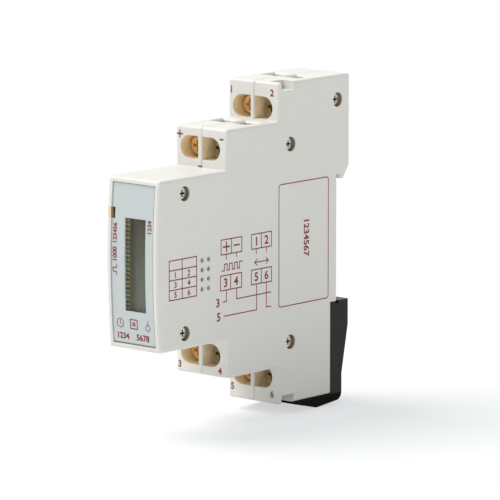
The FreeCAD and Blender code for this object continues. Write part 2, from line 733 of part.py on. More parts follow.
glass_x = (window_x[0] - s.lcd_margin, window_x[1] + s.lcd_right_margin)
glass_z = (window_z[0] - s.lcd_long_margin, window_z[1] + s.lcd_long_margin)
glass_front = -panel_back + 0.05
glass_mid = glass_front + s.lcd_sheet
glass_back = glass_mid + s.lcd_sheet
lcd_glass = fuse("lcd_glass", [
    block("upper_glass", (glass_x[0] + s.lcd_ledge, glass_x[1]), (glass_front, glass_mid), glass_z),
    block("lower_glass", glass_x, (glass_mid, glass_back), glass_z),
])
backlight_end = glass_back + s.backlight_depth
backlight = block("lcd_backlight", (glass_x[0] + s.pin_size * 2, glass_x[1]),
                  (glass_back, backlight_end), glass_z)
board_gap = s.wall + s.display_board_margin
display_board_end = backlight_end + s.display_board_thick
display_board = block("display_board", (board_gap - half, half - board_gap),
                      (backlight_end, display_board_end),
                      (board_gap - s.block_bottom, s.block_top - board_gap))


def lcd_pins():
    pins = []
    count = round(s.pin_count.value)
    for i in range(count):
        z = s.window_z + (i - (count - 1) / 2) * s.pin_pitch
        span = (z - s.pin_size / 2, z + s.pin_size / 2)
        finger = block(f"pin_finger_{i}", (glass_x[0] - s.pin_size, glass_x[0] + s.lcd_ledge - 0.3),
                       (glass_mid - s.pin_size / 2, glass_mid), span)
        leg = block(f"pin_leg_{i}", (glass_x[0] - s.pin_size, glass_x[0]),
                    (glass_mid - s.pin_size / 2, backlight_end), span)
        pins.append(fuse(f"pin_{i}", [finger, leg]))
    return group("lcd_pins", pins)


pins = lcd_pins()
led_z = (s.lamp_z - s.lamp_height / 3, s.lamp_z + s.lamp_height / 3)
pulse_led = block("pulse_led", (board_gap - half, lamp_x[2] + s.lamp_foot),
                  (s.front_wall + s.lamp_play - front_depth, backlight_end), led_z)


# Main board and its parts

main_board = block("main_board", board_x, board_y, board_z)


def on_left(name, y, z, tall):
    return block(name, (board_x[0] - tall, board_x[0]), y, z)


def on_right(name, y, z, tall):
    return block(name, (board_x[1], board_x[1] + tall), y, z)


def spot(y, z, length, height):
    # A rectangle on the board, from its front edge and from its lower edge
    return (board_y[0] + y, board_y[0] + y + length), (board_z[0] + z, board_z[0] + z + height)


film_capacitor = on_left("film_capacitor", *spot(8.5, 12.5, 13.0, 11.0), 6.0)
varistor = prism("varistor", "x", board_x[0] - 4.0, 4.0, (board_y[0] + 10.0, board_z[0] + 6.0), 4.2, 20)
electrolytics = group("supply_capacitors", [
    prism(f"supply_capacitor_{i}", "z", board_z[0] + 11.5, 11.0,
          (board_x[0] - 3.05, board_y[0] + 26.5 + 7.5 * i), 3.05, 18)
    for i in range(2)
])
optocoupler = on_left("optocoupler", *spot(22.5, 29.0, 6.5, 4.6), 3.5)
header_span = 2 * s.header_pitch
service_header = on_right("service_header",
                          (-s.header_y - header_span / 2, -s.header_y + header_span / 2),
                          (-s.header_z - header_span, -s.header_z + header_span),
                          inner - board_x[1] - 0.2)
controller = on_right("controller_chip", *spot(11.5, 22.0, 10.0, 10.0), 1.4)
crystal = on_right("crystal", *spot(12.5, 16.0, 8.0, 3.2), 3.0)
metering = on_right("metering_chip", *spot(23.0, 7.0, 7.5, 15.4), 2.3)
transceiver = on_right("bus_transceiver", *spot(37.0, 26.0, 5.0, 4.0), 1.6)
link_z = board_z[0] + 12.0
board_link = block("board_link", (board_x[0] - s.link_width, board_x[0]),
                   (display_board_end, board_y[0] + s.link_overlap), (link_z, link_z + s.link_height))


# Terminals: screw, cage and contact bar

thread_sides = 12


def terminal_screw(t):
    head = rod(f"head_{t.name}", "y", t.at(s.head_depth), s.head_height, (t.x, t.z), s.head_radius)
    shank = prism(f"shank_{t.name}", "y", t.at(head_end), shank_length, (t.x, t.z), s.thread_radius,
                  thread_sides)
    depth = (t.at(s.head_depth), t.at(s.head_depth) + s.recess_depth)
    long, short = s.recess_length / 2, s.recess_width / 2
    cross = fuse(f"recess_{t.name}", [
        block(f"recess_wide_{t.name}", (t.x - long, t.x + long), depth, (t.z - short, t.z + short)),
        block(f"recess_tall_{t.name}", (t.x - short, t.x + short), depth, (t.z - long, t.z + long)),
    ])
    return cut(f"screw_{t.name}", fuse(f"blank_{t.name}", [head, shank]), cross)


def terminal_cage(t):
    body = new_body(f"cage_{t.name}")
    sketch = sketch_on(body, f"cage_ring_{t.name}", "XY_Plane", t.z - s.cage_height / 2)
    wide = s.cage_width / 2
    draw_rectangle(sketch, (t.x - wide, t.x + wide), (t.at(cage_start), t.at(cage_end)))
    draw_rectangle(sketch, (t.x - wide + s.cage_side, t.x + wide - s.cage_side),
                   (t.at(cage_nut_end), t.at(cage_end - s.cage_foot)))
    pad(body, sketch, s.cage_height)
    sketch = sketch_on(body, f"cage_thread_{t.name}", "XZ_Plane", -t.at(cage_start))
    draw_polygon(sketch, t.x, t.z, s.thread_radius + s.screw_play, thread_sides)
    pocket(body, sketch, s.cage_nut)
    return body


def bar_strip(name, t, end_z):
    # Flat strip through the cage, on to the inside of the case
    far = t.z + s.cage_height / 2 if t.up else t.z - s.cage_height / 2
    span = (end_z, far) if t.up else (far, end_z)
    return block(name, (t.x - s.bar_width / 2, t.x + s.bar_width / 2),
                 (t.at(bar_start), t.at(bar_end)), span)


def bar_tab(name, t, z):
    # Tab from the strip to the board's face
    x = (t.x, board_x[0]) if t.left else (board_x[1], t.x)
    return block(name, x, (t.at(bar_start), t.at(bar_end)), z)


def board_bar(t):
    # A bar whose tab is soldered to the upper or lower edge of the board
    z = (board_z[1] - s.tab_height, board_z[1]) if t.up else (board_z[0], board_z[0] + s.tab_height)
    end_z = z[0] if t.up else z[1]
    return fuse(f"bar_{t.name}", [bar_strip(f"strip_{t.name}", t, end_z), bar_tab(f"tab_{t.name}", t, z)])


terminal = {t.name: t for t in TERMINALS}
screws = [terminal_screw(t) for t in TERMINALS]
cages = [terminal_cage(t) for t in TERMINALS]
bars = [board_bar(terminal[name]) for name in
        ("bus_a", "bus_b", "pulse_plus", "pulse_minus", "line_in", "line_out")]

# The current shunt joins the two line bars below the board
line_in, line_out = terminal["line_in"], terminal["line_out"]
shunt_z = (board_z[0] - s.shunt_gap - s.shunt_thick, board_z[0] - s.shunt_gap)
shunt = block("shunt", (line_in.x + s.bar_width / 2, line_out.x - s.bar_width / 2),
              (line_in.at(bar_start), line_in.at(bar_end) + s.wire_space), shunt_z)

# One neutral bar serves both neutral terminals
neutral_in, neutral_out = terminal["neutral_in"], terminal["neutral_out"]
neutral_z = (board_z[0] - s.shunt_gap - s.bar_width, board_z[0] - s.shunt_gap)
neutral_bar = fuse("bar_neutral", [
    bar_strip("strip_neutral_in", neutral_in, neutral_z[1]),
    bar_strip("strip_neutral_out", neutral_out, neutral_z[1]),
    block("neutral_bridge", (neutral_in.x, neutral_out.x),
          (neutral_in.at(bar_start), neutral_in.at(bar_end)), neutral_z),
    block("neutral_tab", (board_x[1], neutral_out.x),
          (neutral_in.at(bar_start), neutral_in.at(bar_end)), (neutral_z[0], board_z[0] + s.tab_height)),
])


# Case screws with a cross recess

def case_screw(index, y, z):
    outer = half - s.case_head_sink
    under = outer - s.case_head_height
    head = rod(f"case_head_{index}", "x", under, s.case_head_height, (y, z), s.case_screw_head)
    shank = prism(f"case_shank_{index}", "x", under - s.case_screw_length, s.case_screw_length, (y, z),
                  s.case_screw_radius)
    deep = (outer - s.case_head_height / 2, outer)
    long, short = s.case_screw_head * 0.6, s.case_screw_head * 0.17
    cross = fuse(f"case_recess_{index}", [
        block(f"case_recess_wide_{index}", deep, (y - long, y + long), (z - short, z + short)),
        block(f"case_recess_tall_{index}", deep, (y - short, y + short), (z - long, z + long)),
    ])
    return cut(f"case_screw_{index}", fuse(f"case_blank_{index}", [head, shank]), cross)


case_screws = group("case_screws", [case_screw(i, y, z) for i, (y, z) in enumerate(CASE_SCREWS)])


# Rail clip: hook, back, foot and a T-shaped tongue that runs inside the case

arm_z = (-(seat_bottom + s.tongue_drop + s.tongue_thick), -(seat_bottom + s.tongue_drop))
flange_y = (-(s.clip_recess + s.wall + s.clip_play + s.tongue_thick), -(s.clip_recess + s.wall + s.clip_play))
spring_y = flange_y[0] - s.spring_radius - s.spring_wire - s.clip_play


def din_clip():
    body = new_body("din_clip")
    half_clip = s.clip_width / 2
    front = s.clip_play - s.clip_recess
    foot_top = -(case_bottom + s.clip_play)
    foot_bottom = -(case_bottom + s.foot_drop)
    sketch = sketch_on(body, "clip_outline", "YZ_Plane", -half_clip)
    draw_outline(sketch, [
        (front, -(seat_bottom + s.clip_play)), (front, foot_top),
        (-s.foot_reach, foot_top), (-s.foot_reach, foot_top - s.foot_edge),
        (-s.foot_low, foot_bottom), (s.clip_back_low, foot_bottom + s.foot_drop / 3),
        (s.clip_back_low, -(clip_top + s.clip_back_run + s.clip_back_slant)),
        (s.clip_back, -(clip_top + s.clip_back_run)), (s.clip_back, -clip_top),
        (s.rail_gap, -clip_top), (s.rail_gap, -slot_bottom),
        (as_size(0), -slot_bottom), (as_size(0), -(seat_bottom + s.clip_play)),
    ])
    pad(body, sketch, s.clip_width)

    def heel(edge):
        ends = [v.Point for v in edge.Vertexes]
        along = len(ends) == 2 and abs(ends[0].x - ends[1].x) > 1
        return along and close(ends[0].y, s.clip_back_low) and close(ends[0].z, foot_bottom + s.foot_drop / 3)

    dress(body, "Fillet", "clip_heel", "Radius", s.foot_radius, heel)
    web_half = s.tongue_web / 2
    web_z = (arm_z[1] - s.tongue_height, arm_z[1])
    sketch = sketch_on(body, "clip_web", "YZ_Plane", -web_half)
    draw_rectangle(sketch, (flange_y[0], front + s.wall), web_z)
    pad(body, sketch, s.tongue_web)
    sketch = sketch_on(body, "clip_flange", "YZ_Plane", -(s.tongue_flange / 2))
    draw_rectangle(sketch, flange_y, web_z)
    pad(body, sketch, s.tongue_flange)
    arm_half = s.spring_radius + s.spring_wire
    sketch = sketch_on(body, "clip_arm", "YZ_Plane", -arm_half)
    draw_rectangle(sketch, (spring_y - s.spring_radius - s.spring_wire, flange_y[1]), arm_z)
    pad(body, sketch, 2 * arm_half)
    sketch = sketch_on(body, "clip_foot_openings", "XY_Plane", foot_top)
    tool_front = s.foot_slot_inset - s.foot_reach
    draw_rectangle(sketch, (-s.foot_slot_length / 2, s.foot_slot_length / 2),
                   (tool_front, tool_front + s.foot_slot_width))
    for t in TERMINALS:
        if t.tier == "end" and not t.up:
            wide = s.entry_width / 2 + s.foot_window_play
            draw_rectangle(sketch, (t.x - wide, t.x + wide),
                           (t.at(bar_end) - s.foot_window_play,
                            t.at(bar_end + s.wire_space) + s.foot_window_play))
    pocket(body, sketch, 2 * s.foot_drop)
    return body


clip = din_clip()


def clip_spring():
    # Coil of short straight runs between the case floor and the clip's arm
    low = floor_z + s.spring_play + s.spring_wire / 2
    high = arm_z[0] - s.spring_play - s.spring_wire / 2
    radius, wire, runs = s.spring_radius.value, s.spring_wire.value / 2, 14
    count = round(s.spring_turns.value) * runs
    rise = (high.value - low.value) / count
    spots = [Vector(radius * math.cos(2 * math.pi * i / runs), radius * math.sin(2 * math.pi * i / runs),
                    rise * i) for i in range(count + 1)]
    along = (spots[1] - spots[0]).normalize()
    out = along.cross(Vector(0, 0, 1)).normalize()
    up = out.cross(along)
    ring = [spots[0] + out * (wire * math.cos(math.pi * k / 4)) + up * (wire * math.sin(math.pi * k / 4))
            for k in range(9)]
    feature = doc.addObject("Part::Feature", "clip_spring")
    feature.Shape = Part.makePolygon(spots).makePipeShell([Part.makePolygon(ring)], True, True, 1)
    feature.Placement = Placement(Vector(0, spring_y.value, low.value), Rotation())
    return feature


spring = clip_spring()

NODES = [
    case_left, case_right, panel, window, pulse_guide, lcd_glass, backlight, display_board, pins, pulse_led,
    main_board, film_capacitor, varistor, electrolytics, optocoupler, service_header, controller, crystal,
    metering, transceiver, board_link, shunt, neutral_bar, case_screws, clip, spring,
] + screws + cages + bars

doc.recompute()

# Nothing is written unless every object computed and every piece is a sound solid
for thing in doc.Objects:
    if {"Invalid", "Error"} & set(thing.State):
        raise RuntimeError(f"{thing.Name} did not compute: {thing.State}")
for feature in pockets:
    if feature.BaseFeature.Shape.Volume - feature.Shape.Volume < 0.01:
        raise RuntimeError(f"{feature.Name} cuts nothing")
for node in NODES:
    node.Label = node.Name
    if node.Shape.isNull() or not node.Shape.isValid() or not node.Shape.Solids:
        raise RuntimeError(f"{node.Name} is not a sound solid")

os.makedirs("parts", exist_ok=True)
for node in NODES:
    node.Shape.exportStep(f"parts/{node.Name}.step")
    print(node.Name, len(node.Shape.Solids), round(node.Shape.Volume, 1))
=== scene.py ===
import math

import bmesh
import bpy
from mathutils import Matrix, Vector


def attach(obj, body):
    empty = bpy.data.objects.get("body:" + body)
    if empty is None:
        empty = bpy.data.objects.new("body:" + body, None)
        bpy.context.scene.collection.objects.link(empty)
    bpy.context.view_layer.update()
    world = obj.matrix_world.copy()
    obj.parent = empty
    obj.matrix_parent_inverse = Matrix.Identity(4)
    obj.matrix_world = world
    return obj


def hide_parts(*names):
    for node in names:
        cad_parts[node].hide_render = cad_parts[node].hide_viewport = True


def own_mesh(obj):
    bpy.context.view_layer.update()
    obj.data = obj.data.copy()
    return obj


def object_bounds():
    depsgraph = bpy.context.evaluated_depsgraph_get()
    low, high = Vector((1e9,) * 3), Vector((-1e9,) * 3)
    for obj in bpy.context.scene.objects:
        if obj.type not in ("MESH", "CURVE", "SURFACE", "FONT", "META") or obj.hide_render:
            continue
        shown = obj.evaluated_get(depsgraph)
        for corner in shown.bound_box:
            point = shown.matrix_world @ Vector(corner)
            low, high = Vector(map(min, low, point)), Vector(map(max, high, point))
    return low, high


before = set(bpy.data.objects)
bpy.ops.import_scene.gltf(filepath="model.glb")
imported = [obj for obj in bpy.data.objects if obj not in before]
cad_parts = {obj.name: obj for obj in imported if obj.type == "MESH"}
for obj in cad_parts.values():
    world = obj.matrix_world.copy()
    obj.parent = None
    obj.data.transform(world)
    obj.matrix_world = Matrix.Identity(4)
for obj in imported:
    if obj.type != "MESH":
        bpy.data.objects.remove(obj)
cadLow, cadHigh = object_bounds()

# Places and sizes are in millimetres, as the CAD has them, except for the camera, the lamps and the floor
mm = 0.001

# Metres and degrees; azimuth 0 looks at the front, and a positive one stands further to the right
camera = {
    "azimuth": 41.12,
    "elevation": 9.33,
    "distance": 1.2317,
    "target": (0.01535, -0.04241, 0.00306),
    "lens": 340.39,
    "sensor": 36.0,
    "near": 0.05,
    "far": 50.0,
}


def towards(azimuth, elevation):
    # The direction in which something at these angles stands, seen from the meter
    a, e = math.radians(azimuth), math.radians(elevation)
    return Vector((math.sin(a) * math.cos(e), -math.cos(a) * math.cos(e), math.sin(e)))


def putUp(name, data, spot, back):
    # A camera or a lamp that faces away from the direction back
    thing = bpy.data.objects.new(name, data)
    thing.location = spot
    thing.rotation_mode = "QUATERNION"
    thing.rotation_quaternion = back.to_track_quat("Z", "Y")
    bpy.context.scene.collection.objects.link(thing)
    return thing


def makeCamera():
    data = bpy.data.cameras.new("camera")
    data.lens = camera["lens"]
    data.sensor_width = camera["sensor"]
    data.sensor_fit = "HORIZONTAL"
    data.clip_start = camera["near"]
    data.clip_end = camera["far"]
    data.dof.use_dof = False
    back = towards(camera["azimuth"], camera["elevation"])
    spot = Vector(camera["target"]) + back * camera["distance"]
    bpy.context.scene.camera = putUp("camera", data, spot, back)


makeCamera()
bpy.context.scene.view_settings.view_transform = "Standard"
print("camera done")


class Graph:
    # Short names for the nodes of one material, group or world
    def __init__(self, tree):
        self.tree = tree

    def add(self, kind, **inputs):
        node = self.tree.nodes.new(kind)
        for key, value in inputs.items():
            self.set(node, key, value)
        return node

    def set(self, node, key, value):
        socket = node.inputs[key]
        if isinstance(value, bpy.types.NodeSocket):
            self.tree.links.new(value, socket)
        elif socket.type == "RGBA" and len(value) == 3:
            socket.default_value = (*value, 1.0)
        else:
            socket.default_value = value

    def math(self, operation, a, b=0.0):
        node = self.add("ShaderNodeMath")
        node.operation = operation
        self.set(node, 0, a)
        self.set(node, 1, b)
        return node.outputs[0]

    def times(self, a, b):
        return self.math("MULTIPLY", a, b)

    def most(self, parts):
        # The highest of several masks
        total = parts[0]
        for part in parts[1:]:
            total = self.math("MAXIMUM", total, part)
        return total

    def swing(self, noise, middle, spread):
        # Round the middle, half the spread up and half down
        return self.math("ADD", self.times(self.math("SUBTRACT", noise, 0.5), spread), middle)

    def mix(self, factor, a, b, blend="MIX"):
        node = self.add("ShaderNodeMix")
        node.data_type = "RGBA"
        node.blend_type = blend
        self.set(node, 0, factor)
        self.set(node, 6, a)
        self.set(node, 7, b)
        return node.outputs[2]

    def blend(self, factor, a, b):
        # A mix of two shaders
        node = self.add("ShaderNodeMixShader")
        self.set(node, 0, factor)
        self.set(node, 1, a.outputs[0])
        self.set(node, 2, b.outputs[0])
        return node

    def ramp(self, value, start, end):
        # 0 at the start and 1 at the end, whichever of them is higher
        node = self.add("ShaderNodeMapRange")
        node.interpolation_type = "SMOOTHSTEP"
        self.set(node, 0, value)
        self.set(node, 1, start)
        self.set(node, 2, end)
        return node.outputs[0]

    def above(self, value, level, soft):
        # 1 above a level in millimetres, with a step that is soft by so much on each side
        return self.ramp(value, (level - soft) * mm, (level + soft) * mm)

    def below(self, value, level, soft):
        return self.ramp(value, (level + soft) * mm, (level - soft) * mm)

    def place(self):
        return self.add("ShaderNodeTexCoord").outputs["Object"]

    def turned(self, place, turn=(0.0, 0.0, 0.0), scale=(1.0, 1.0, 1.0)):
        return self.add("ShaderNodeMapping", Vector=place, Rotation=turn, Scale=scale).outputs[0]

    def axes(self, vector):
        return self.add("ShaderNodeSeparateXYZ", Vector=vector).outputs

    def noise(self, place, scale, detail, rough):
        node = self.add("ShaderNodeTexNoise", Vector=place, Scale=scale, Detail=detail, Roughness=rough)
        return node.outputs[0]

    def bump(self, height, strength, depth):
        return self.add("ShaderNodeBump", Strength=strength, Distance=depth * mm, Height=height)

    def use(self, group, values):
        node = self.add("ShaderNodeGroup")
        node.node_tree = group
        for key, value in values.items():
            self.set(node, key, value)
        return node.outputs


def seenRays(graph):
    # 1 for what is seen, also in a reflection or through glass, and 0 for light that falls on things
    path = graph.add("ShaderNodeLightPath").outputs
    return graph.most([path["Is Camera Ray"], path["Is Glossy Ray"], path["Is Transmission Ray"]])


materials = {}


def newMaterial(name, kind="ShaderNodeBsdfPrincipled"):
    material = bpy.data.materials.new(name)
    material.use_nodes = True
    materials[name] = material
    graph = Graph(material.node_tree)
    graph.tree.nodes.clear()
    graph.shader = graph.add(kind)
    graph.output = graph.add("ShaderNodeOutputMaterial")
    graph.set(graph.output, "Surface", graph.shader.outputs[0])
    return graph


socketKinds = {"Colour": "NodeSocketColor", "Rubbed And Lit Edge Colour": "NodeSocketColor", "Normal": "NodeSocketVector"}


def newGroup(name, inputs):
    # A finish: what it is given differs, and it always puts out a colour, a roughness and a normal
    tree = bpy.data.node_groups.new(name, "ShaderNodeTree")
    for key in inputs:
        tree.interface.new_socket(key, in_out="INPUT", socket_type=socketKinds.get(key, "NodeSocketFloat"))
    for key in ("Colour", "Roughness", "Normal"):
        tree.interface.new_socket(key, in_out="OUTPUT", socket_type=socketKinds.get(key, "NodeSocketFloat"))
    graph = Graph(tree)
    return graph, graph.add("NodeGroupInput").outputs, graph.add("NodeGroupOutput")


def wearFinish(graph, group, values):
    # Puts the finish on the shader, and hands back its colour for what is painted over it
    finish = graph.use(group, values)
    graph.set(graph.shader, "Base Color", finish["Colour"])
    graph.set(graph.shader, "Roughness", finish["Roughness"])
    graph.set(graph.shader, "Normal", finish["Normal"])
    return finish["Colour"]


# A noise is given as scale, detail and roughness, and a bump as strength and depth
mouldings = {
    "grain": (5200.0, 2.0, 0.6),
    "bump": (0.10, 0.04),
    "clouds": (60.0, 3.0, 0.55),
    "drift": 0.05,
    "rounding": 0.22,
    "samples": 4,
    "edge": (0.995, 0.80),
    "rubbedAndLitEdgeShare": 0.25,
    "spread": 0.05,
}


def makeMouldedGrain():
    # Moulded plastic: fine grain, a slow drift of tone, rounded edges, and a lighter colour along them that
    # is both wear and a painted highlight
    inputs = ("Colour", "Rubbed And Lit Edge Colour", "Rubbed And Lit Edge", "Roughness", "Spread")
    graph, given, result = newGroup("mouldedGrain", inputs)
    place = graph.place()
    grain = graph.noise(place, *mouldings["grain"])
    tone = graph.swing(graph.noise(place, *mouldings["clouds"]), 1.0, mouldings["drift"])
    rounded = graph.add("ShaderNodeBevel", Radius=mouldings["rounding"] * mm)
    rounded.samples = mouldings["samples"]
    facing = graph.add("ShaderNodeVectorMath")
    facing.operation = "DOT_PRODUCT"
    graph.set(facing, 0, rounded.outputs[0])
    graph.set(facing, 1, graph.add("ShaderNodeNewGeometry").outputs["Normal"])
    # The edge mask lays the lighter edge colour on, as wear and as a painted highlight
    edge = graph.times(graph.ramp(facing.outputs["Value"], *mouldings["edge"]), given["Rubbed And Lit Edge"])
    toned = graph.mix(1.0, given["Colour"], tone, "MULTIPLY")
    graph.set(result, "Colour", graph.mix(edge, toned, given["Rubbed And Lit Edge Colour"]))
    graph.set(result, "Roughness", graph.swing(grain, given["Roughness"], given["Spread"]))
    bump = graph.bump(grain, *mouldings["bump"])
    graph.set(bump, "Normal", rounded.outputs[0])
    graph.set(result, "Normal", bump.outputs[0])
    return graph.tree


mouldedGrain = makeMouldedGrain()


def newPlastic(name, look):
    graph = newMaterial(name)
    colour = wearFinish(graph, mouldedGrain, {
        "Colour": look["colour"], "Rubbed And Lit Edge Colour": look["rubbedAndLitEdge"], "Rubbed And Lit Edge": look.get("rubbedAndLitEdgeShare", mouldings["rubbedAndLitEdgeShare"]),
        "Roughness": look["roughness"], "Spread": look.get("spread", mouldings["spread"])})
    return graph, colour


# The patches' noise takes its scale from the brush marks
brushing = {
    "along": (1.0, 0.25, 1.0),
    "detail": 4.0,
    "rough": 0.7,
    "bump": (0.15, 0.02),
    "spread": 0.22,
    "patchScale": 0.3,
    "patchDetail": 3.0,
    "patchRough": 0.6,
    "patches": (0.35, 0.7),
    "dull": (0.8, 0.8, 0.8),
}


def makeBrushedMetal():
    # Metal with fine marks drawn out along y, and duller patches
    graph, given, result = newGroup("brushedMetal", ("Colour", "Scale", "Roughness"))
    place = graph.place()
    brush = graph.noise(graph.turned(place, scale=brushing["along"]), given["Scale"],
                        brushing["detail"], brushing["rough"])
    patch = graph.noise(place, graph.times(given["Scale"], brushing["patchScale"]),
                        brushing["patchDetail"], brushing["patchRough"])
    dull = graph.mix(1.0, given["Colour"], brushing["dull"], "MULTIPLY")
    bright = graph.ramp(patch, *brushing["patches"])
    graph.set(result, "Colour", graph.mix(bright, dull, given["Colour"]))
    graph.set(result, "Roughness", graph.swing(brush, given["Roughness"], brushing["spread"]))
    graph.set(result, "Normal", graph.bump(brush, *brushing["bump"]).outputs[0])
    return graph.tree


brushedMetal = makeBrushedMetal()


def newMetal(name, look):
    graph = newMaterial(name)
    colour = wearFinish(graph, brushedMetal, {
        "Colour": look["colour"], "Scale": look["scale"], "Roughness": look["roughness"]})
    graph.set(graph.shader, "Metallic", look.get("metallic", 1.0))
    return graph, colour


def makePatchy(name, look):
    # A plain finish, dulled in patches
    graph = newMaterial(name)
    dull = graph.ramp(graph.noise(graph.place(), *look["noise"]), *look["patches"])
    graph.set(graph.shader, "Base Color", graph.mix(dull, look["colour"], look["dull"]))
    graph.set(graph.shader, "Roughness", look["roughness"])


# The four tiers: where their front face is in y, and the height of the screwdriver openings' middle
tiers = {
    "endTop": {"face": -23.35, "height": 37.4},
    "midTop": {"face": -44.2, "height": 28.6},
    "midLow": {"face": -44.2, "height": -26.1},
    "endLow": {"face": -23.35, "height": -34.7},
}

# The screws in the case's right side: their places (y, z), and x where the head's face lies
caseScrews = {
    "spots": ((-60.75, 19.35), (-60.75, -17.35), (-18.75, 27.8), (-18.75, -25.3), (0.4, 37.8)),
    "face": 8.05,
}

# Levels come with their softness; a depth is counted from the tier's face
caseLook = {
    "colour": (0.725, 0.722, 0.69),
    "rubbedAndLitEdge": (0.80, 0.79, 0.74),
    "rubbedAndLitEdgeShare": 0.35,
    "roughness": 0.42,
    "gloss": 0.30,
    "subsurface": {"weight": 0.06, "radius": (1.0, 0.8, 0.5), "scale": 1.2},
    # Painted warm reflection on the walls inside the screwdriver openings
    "openings": {"from": (0.4, 0.5), "to": (10.5, 1.5), "halfHeight": (3.3, 0.05),
                 "halfWidth": (7.55, 0.05), "colour": (0.95, 0.76, 0.45), "share": 0.96},
    # The right column's openings get a paler painted warm reflection
    "partition": {"side": (0.07, 0.07), "colour": (0.93, 0.79, 0.55)},
    # Darker brown in random patches inside the openings
    "brownPatches": {"noise": (350.0, 3.0, 0.6), "patches": (0.35, 0.8),
               "colour": (0.30, 0.24, 0.14), "share": 0.35},
    # Painted brown shade on the walls of the case screws' holes
    "holes": {"radius": (2.005, 0.025), "top": (8.825, 0.075), "bottom": (6.70, 0.15),
              "colour": (0.30, 0.24, 0.14), "share": 0.9},
}


def makeOpeningMask(graph, place):
    # 1 on the walls inside the screwdriver openings, 0 on the outside of the case
    look = caseLook["openings"]
    axes = graph.axes(place)
    start, startSoft = look["from"]
    end, endSoft = look["to"]
    across = graph.below(graph.math("ABSOLUTE", axes["X"]), *look["halfWidth"])
    parts = []
    for tier in tiers.values():
        inside = graph.above(axes["Y"], tier["face"] + start, startSoft)
        before = graph.below(axes["Y"], tier["face"] + end, endSoft)
        offset = graph.math("ABSOLUTE", graph.math("SUBTRACT", axes["Z"], tier["height"] * mm))
        near = graph.below(offset, *look["halfHeight"])
        parts.append(graph.times(graph.times(inside, before), near))
    return graph.times(graph.most(parts), across)


def makeHoleMask(graph, place):
    # 1 on the walls of the case screws' holes
    look = caseLook["holes"]
    axes = graph.axes(place)
    parts = []
    for y, z in caseScrews["spots"]:
        offY = graph.math("SUBTRACT", axes["Y"], y * mm)
        offZ = graph.math("SUBTRACT", axes["Z"], z * mm)
        square = graph.math("ADD", graph.times(offY, offY), graph.times(offZ, offZ))
        parts.append(graph.below(graph.math("SQRT", square), *look["radius"]))
    deep = graph.times(graph.below(axes["X"], *look["top"]), graph.above(axes["X"], *look["bottom"]))
    return graph.times(graph.most(parts), deep)


def makeCaseMaterial():
    # Off-white outside; a painted warm reflection on the walls inside the openings, darker brown in random
    # patches there, and painted brown shade in the screws' holes
    graph, base = newPlastic("caseShell", caseLook)
    openings, partition = caseLook["openings"], caseLook["partition"]
    brownPatches, holes, subsurface = caseLook["brownPatches"], caseLook["holes"], caseLook["subsurface"]
    place = graph.place()
    right = graph.above(graph.axes(place)["X"], *partition["side"])
    # The painted warm reflection inside the openings, paler in the right column
    warmReflection = graph.mix(right, openings["colour"], partition["colour"])
    # Darker brown in random patches over the openings' colour
    patch = graph.ramp(graph.noise(place, *brownPatches["noise"]), *brownPatches["patches"])
    warmReflection = graph.mix(graph.times(patch, brownPatches["share"]), warmReflection, brownPatches["colour"])
    withWarmReflection = graph.mix(graph.times(makeOpeningMask(graph, place), openings["share"]), base, warmReflection)
    # Painted brown shade in the screws' holes
    hole = graph.times(makeHoleMask(graph, place), holes["share"])
    graph.set(graph.shader, "Base Color", graph.mix(hole, withWarmReflection, holes["colour"]))
    graph.set(graph.shader, "Subsurface Weight", subsurface["weight"])
    graph.set(graph.shader, "Subsurface Radius", subsurface["radius"])
    graph.set(graph.shader, "Subsurface Scale", subsurface["scale"] * mm)
    graph.set(graph.shader, "Specular IOR Level", caseLook["gloss"])


makeCaseMaterial()

panelLook = {
    "colour": (0.525, 0.575, 0.585),
    "rubbedAndLitEdge": (0.60, 0.63, 0.63),
    "rubbedAndLitEdgeShare": 0.3,
    "roughness": 0.34,
    # Painted shade of the gap to the frame, along the right and lower edges
    "gapShade": {"right": 7.33, "low": -20.03, "width": 0.30, "colour": (0.16, 0.15, 0.13), "share": 0.8},
}


def makePanelMaterial():
    # Pale plate with painted shade in a fine dark line on its right and lower edges, where the gap to the
    # frame is
    graph, base = newPlastic("labelPlate", panelLook)
    gapShade = panelLook["gapShade"]
    axes = graph.axes(graph.place())
    atRight = graph.math("GREATER_THAN", axes["X"], (gapShade["right"] - gapShade["width"]) * mm)
    atLow = graph.math("LESS_THAN", axes["Z"], (gapShade["low"] + gapShade["width"]) * mm)
    # Painted shade along the right and lower edges
    edge = graph.times(graph.most([atRight, atLow]), gapShade["share"])
    graph.set(graph.shader, "Base Color", graph.mix(edge, base, gapShade["colour"]))


makePanelMaterial()

# Slopes are the upward part of a face's normal
clipLook = {
    "colour": (0.012, 0.010, 0.007),
    # Painted highlight: the clip's edges take this lighter colour, at a large share
    "rubbedAndLitEdge": (0.09, 0.085, 0.08),
    "rubbedAndLitEdgeShare": 0.5,
    "roughness": 0.42,
    "spread": 0.10,
    "gloss": 0.19,
    "dust": {"noise": (240.0, 4.0, 0.6), "patches": (0.45, 0.8),
             "colour": (0.030, 0.028, 0.025), "share": 0.25},
    # Painted sheen: the faces that look up are lighter
    "top": {"slope": (0.6, 0.9), "colour": (0.055, 0.052, 0.048)},
    # Painted shade on the undersides, and below on the foot
    "under": {"slope": (-0.25, -0.6), "colour": (0.006, 0.005, 0.004)},
    "foot": {"top": (-41.95, 0.25), "share": 0.8},
}


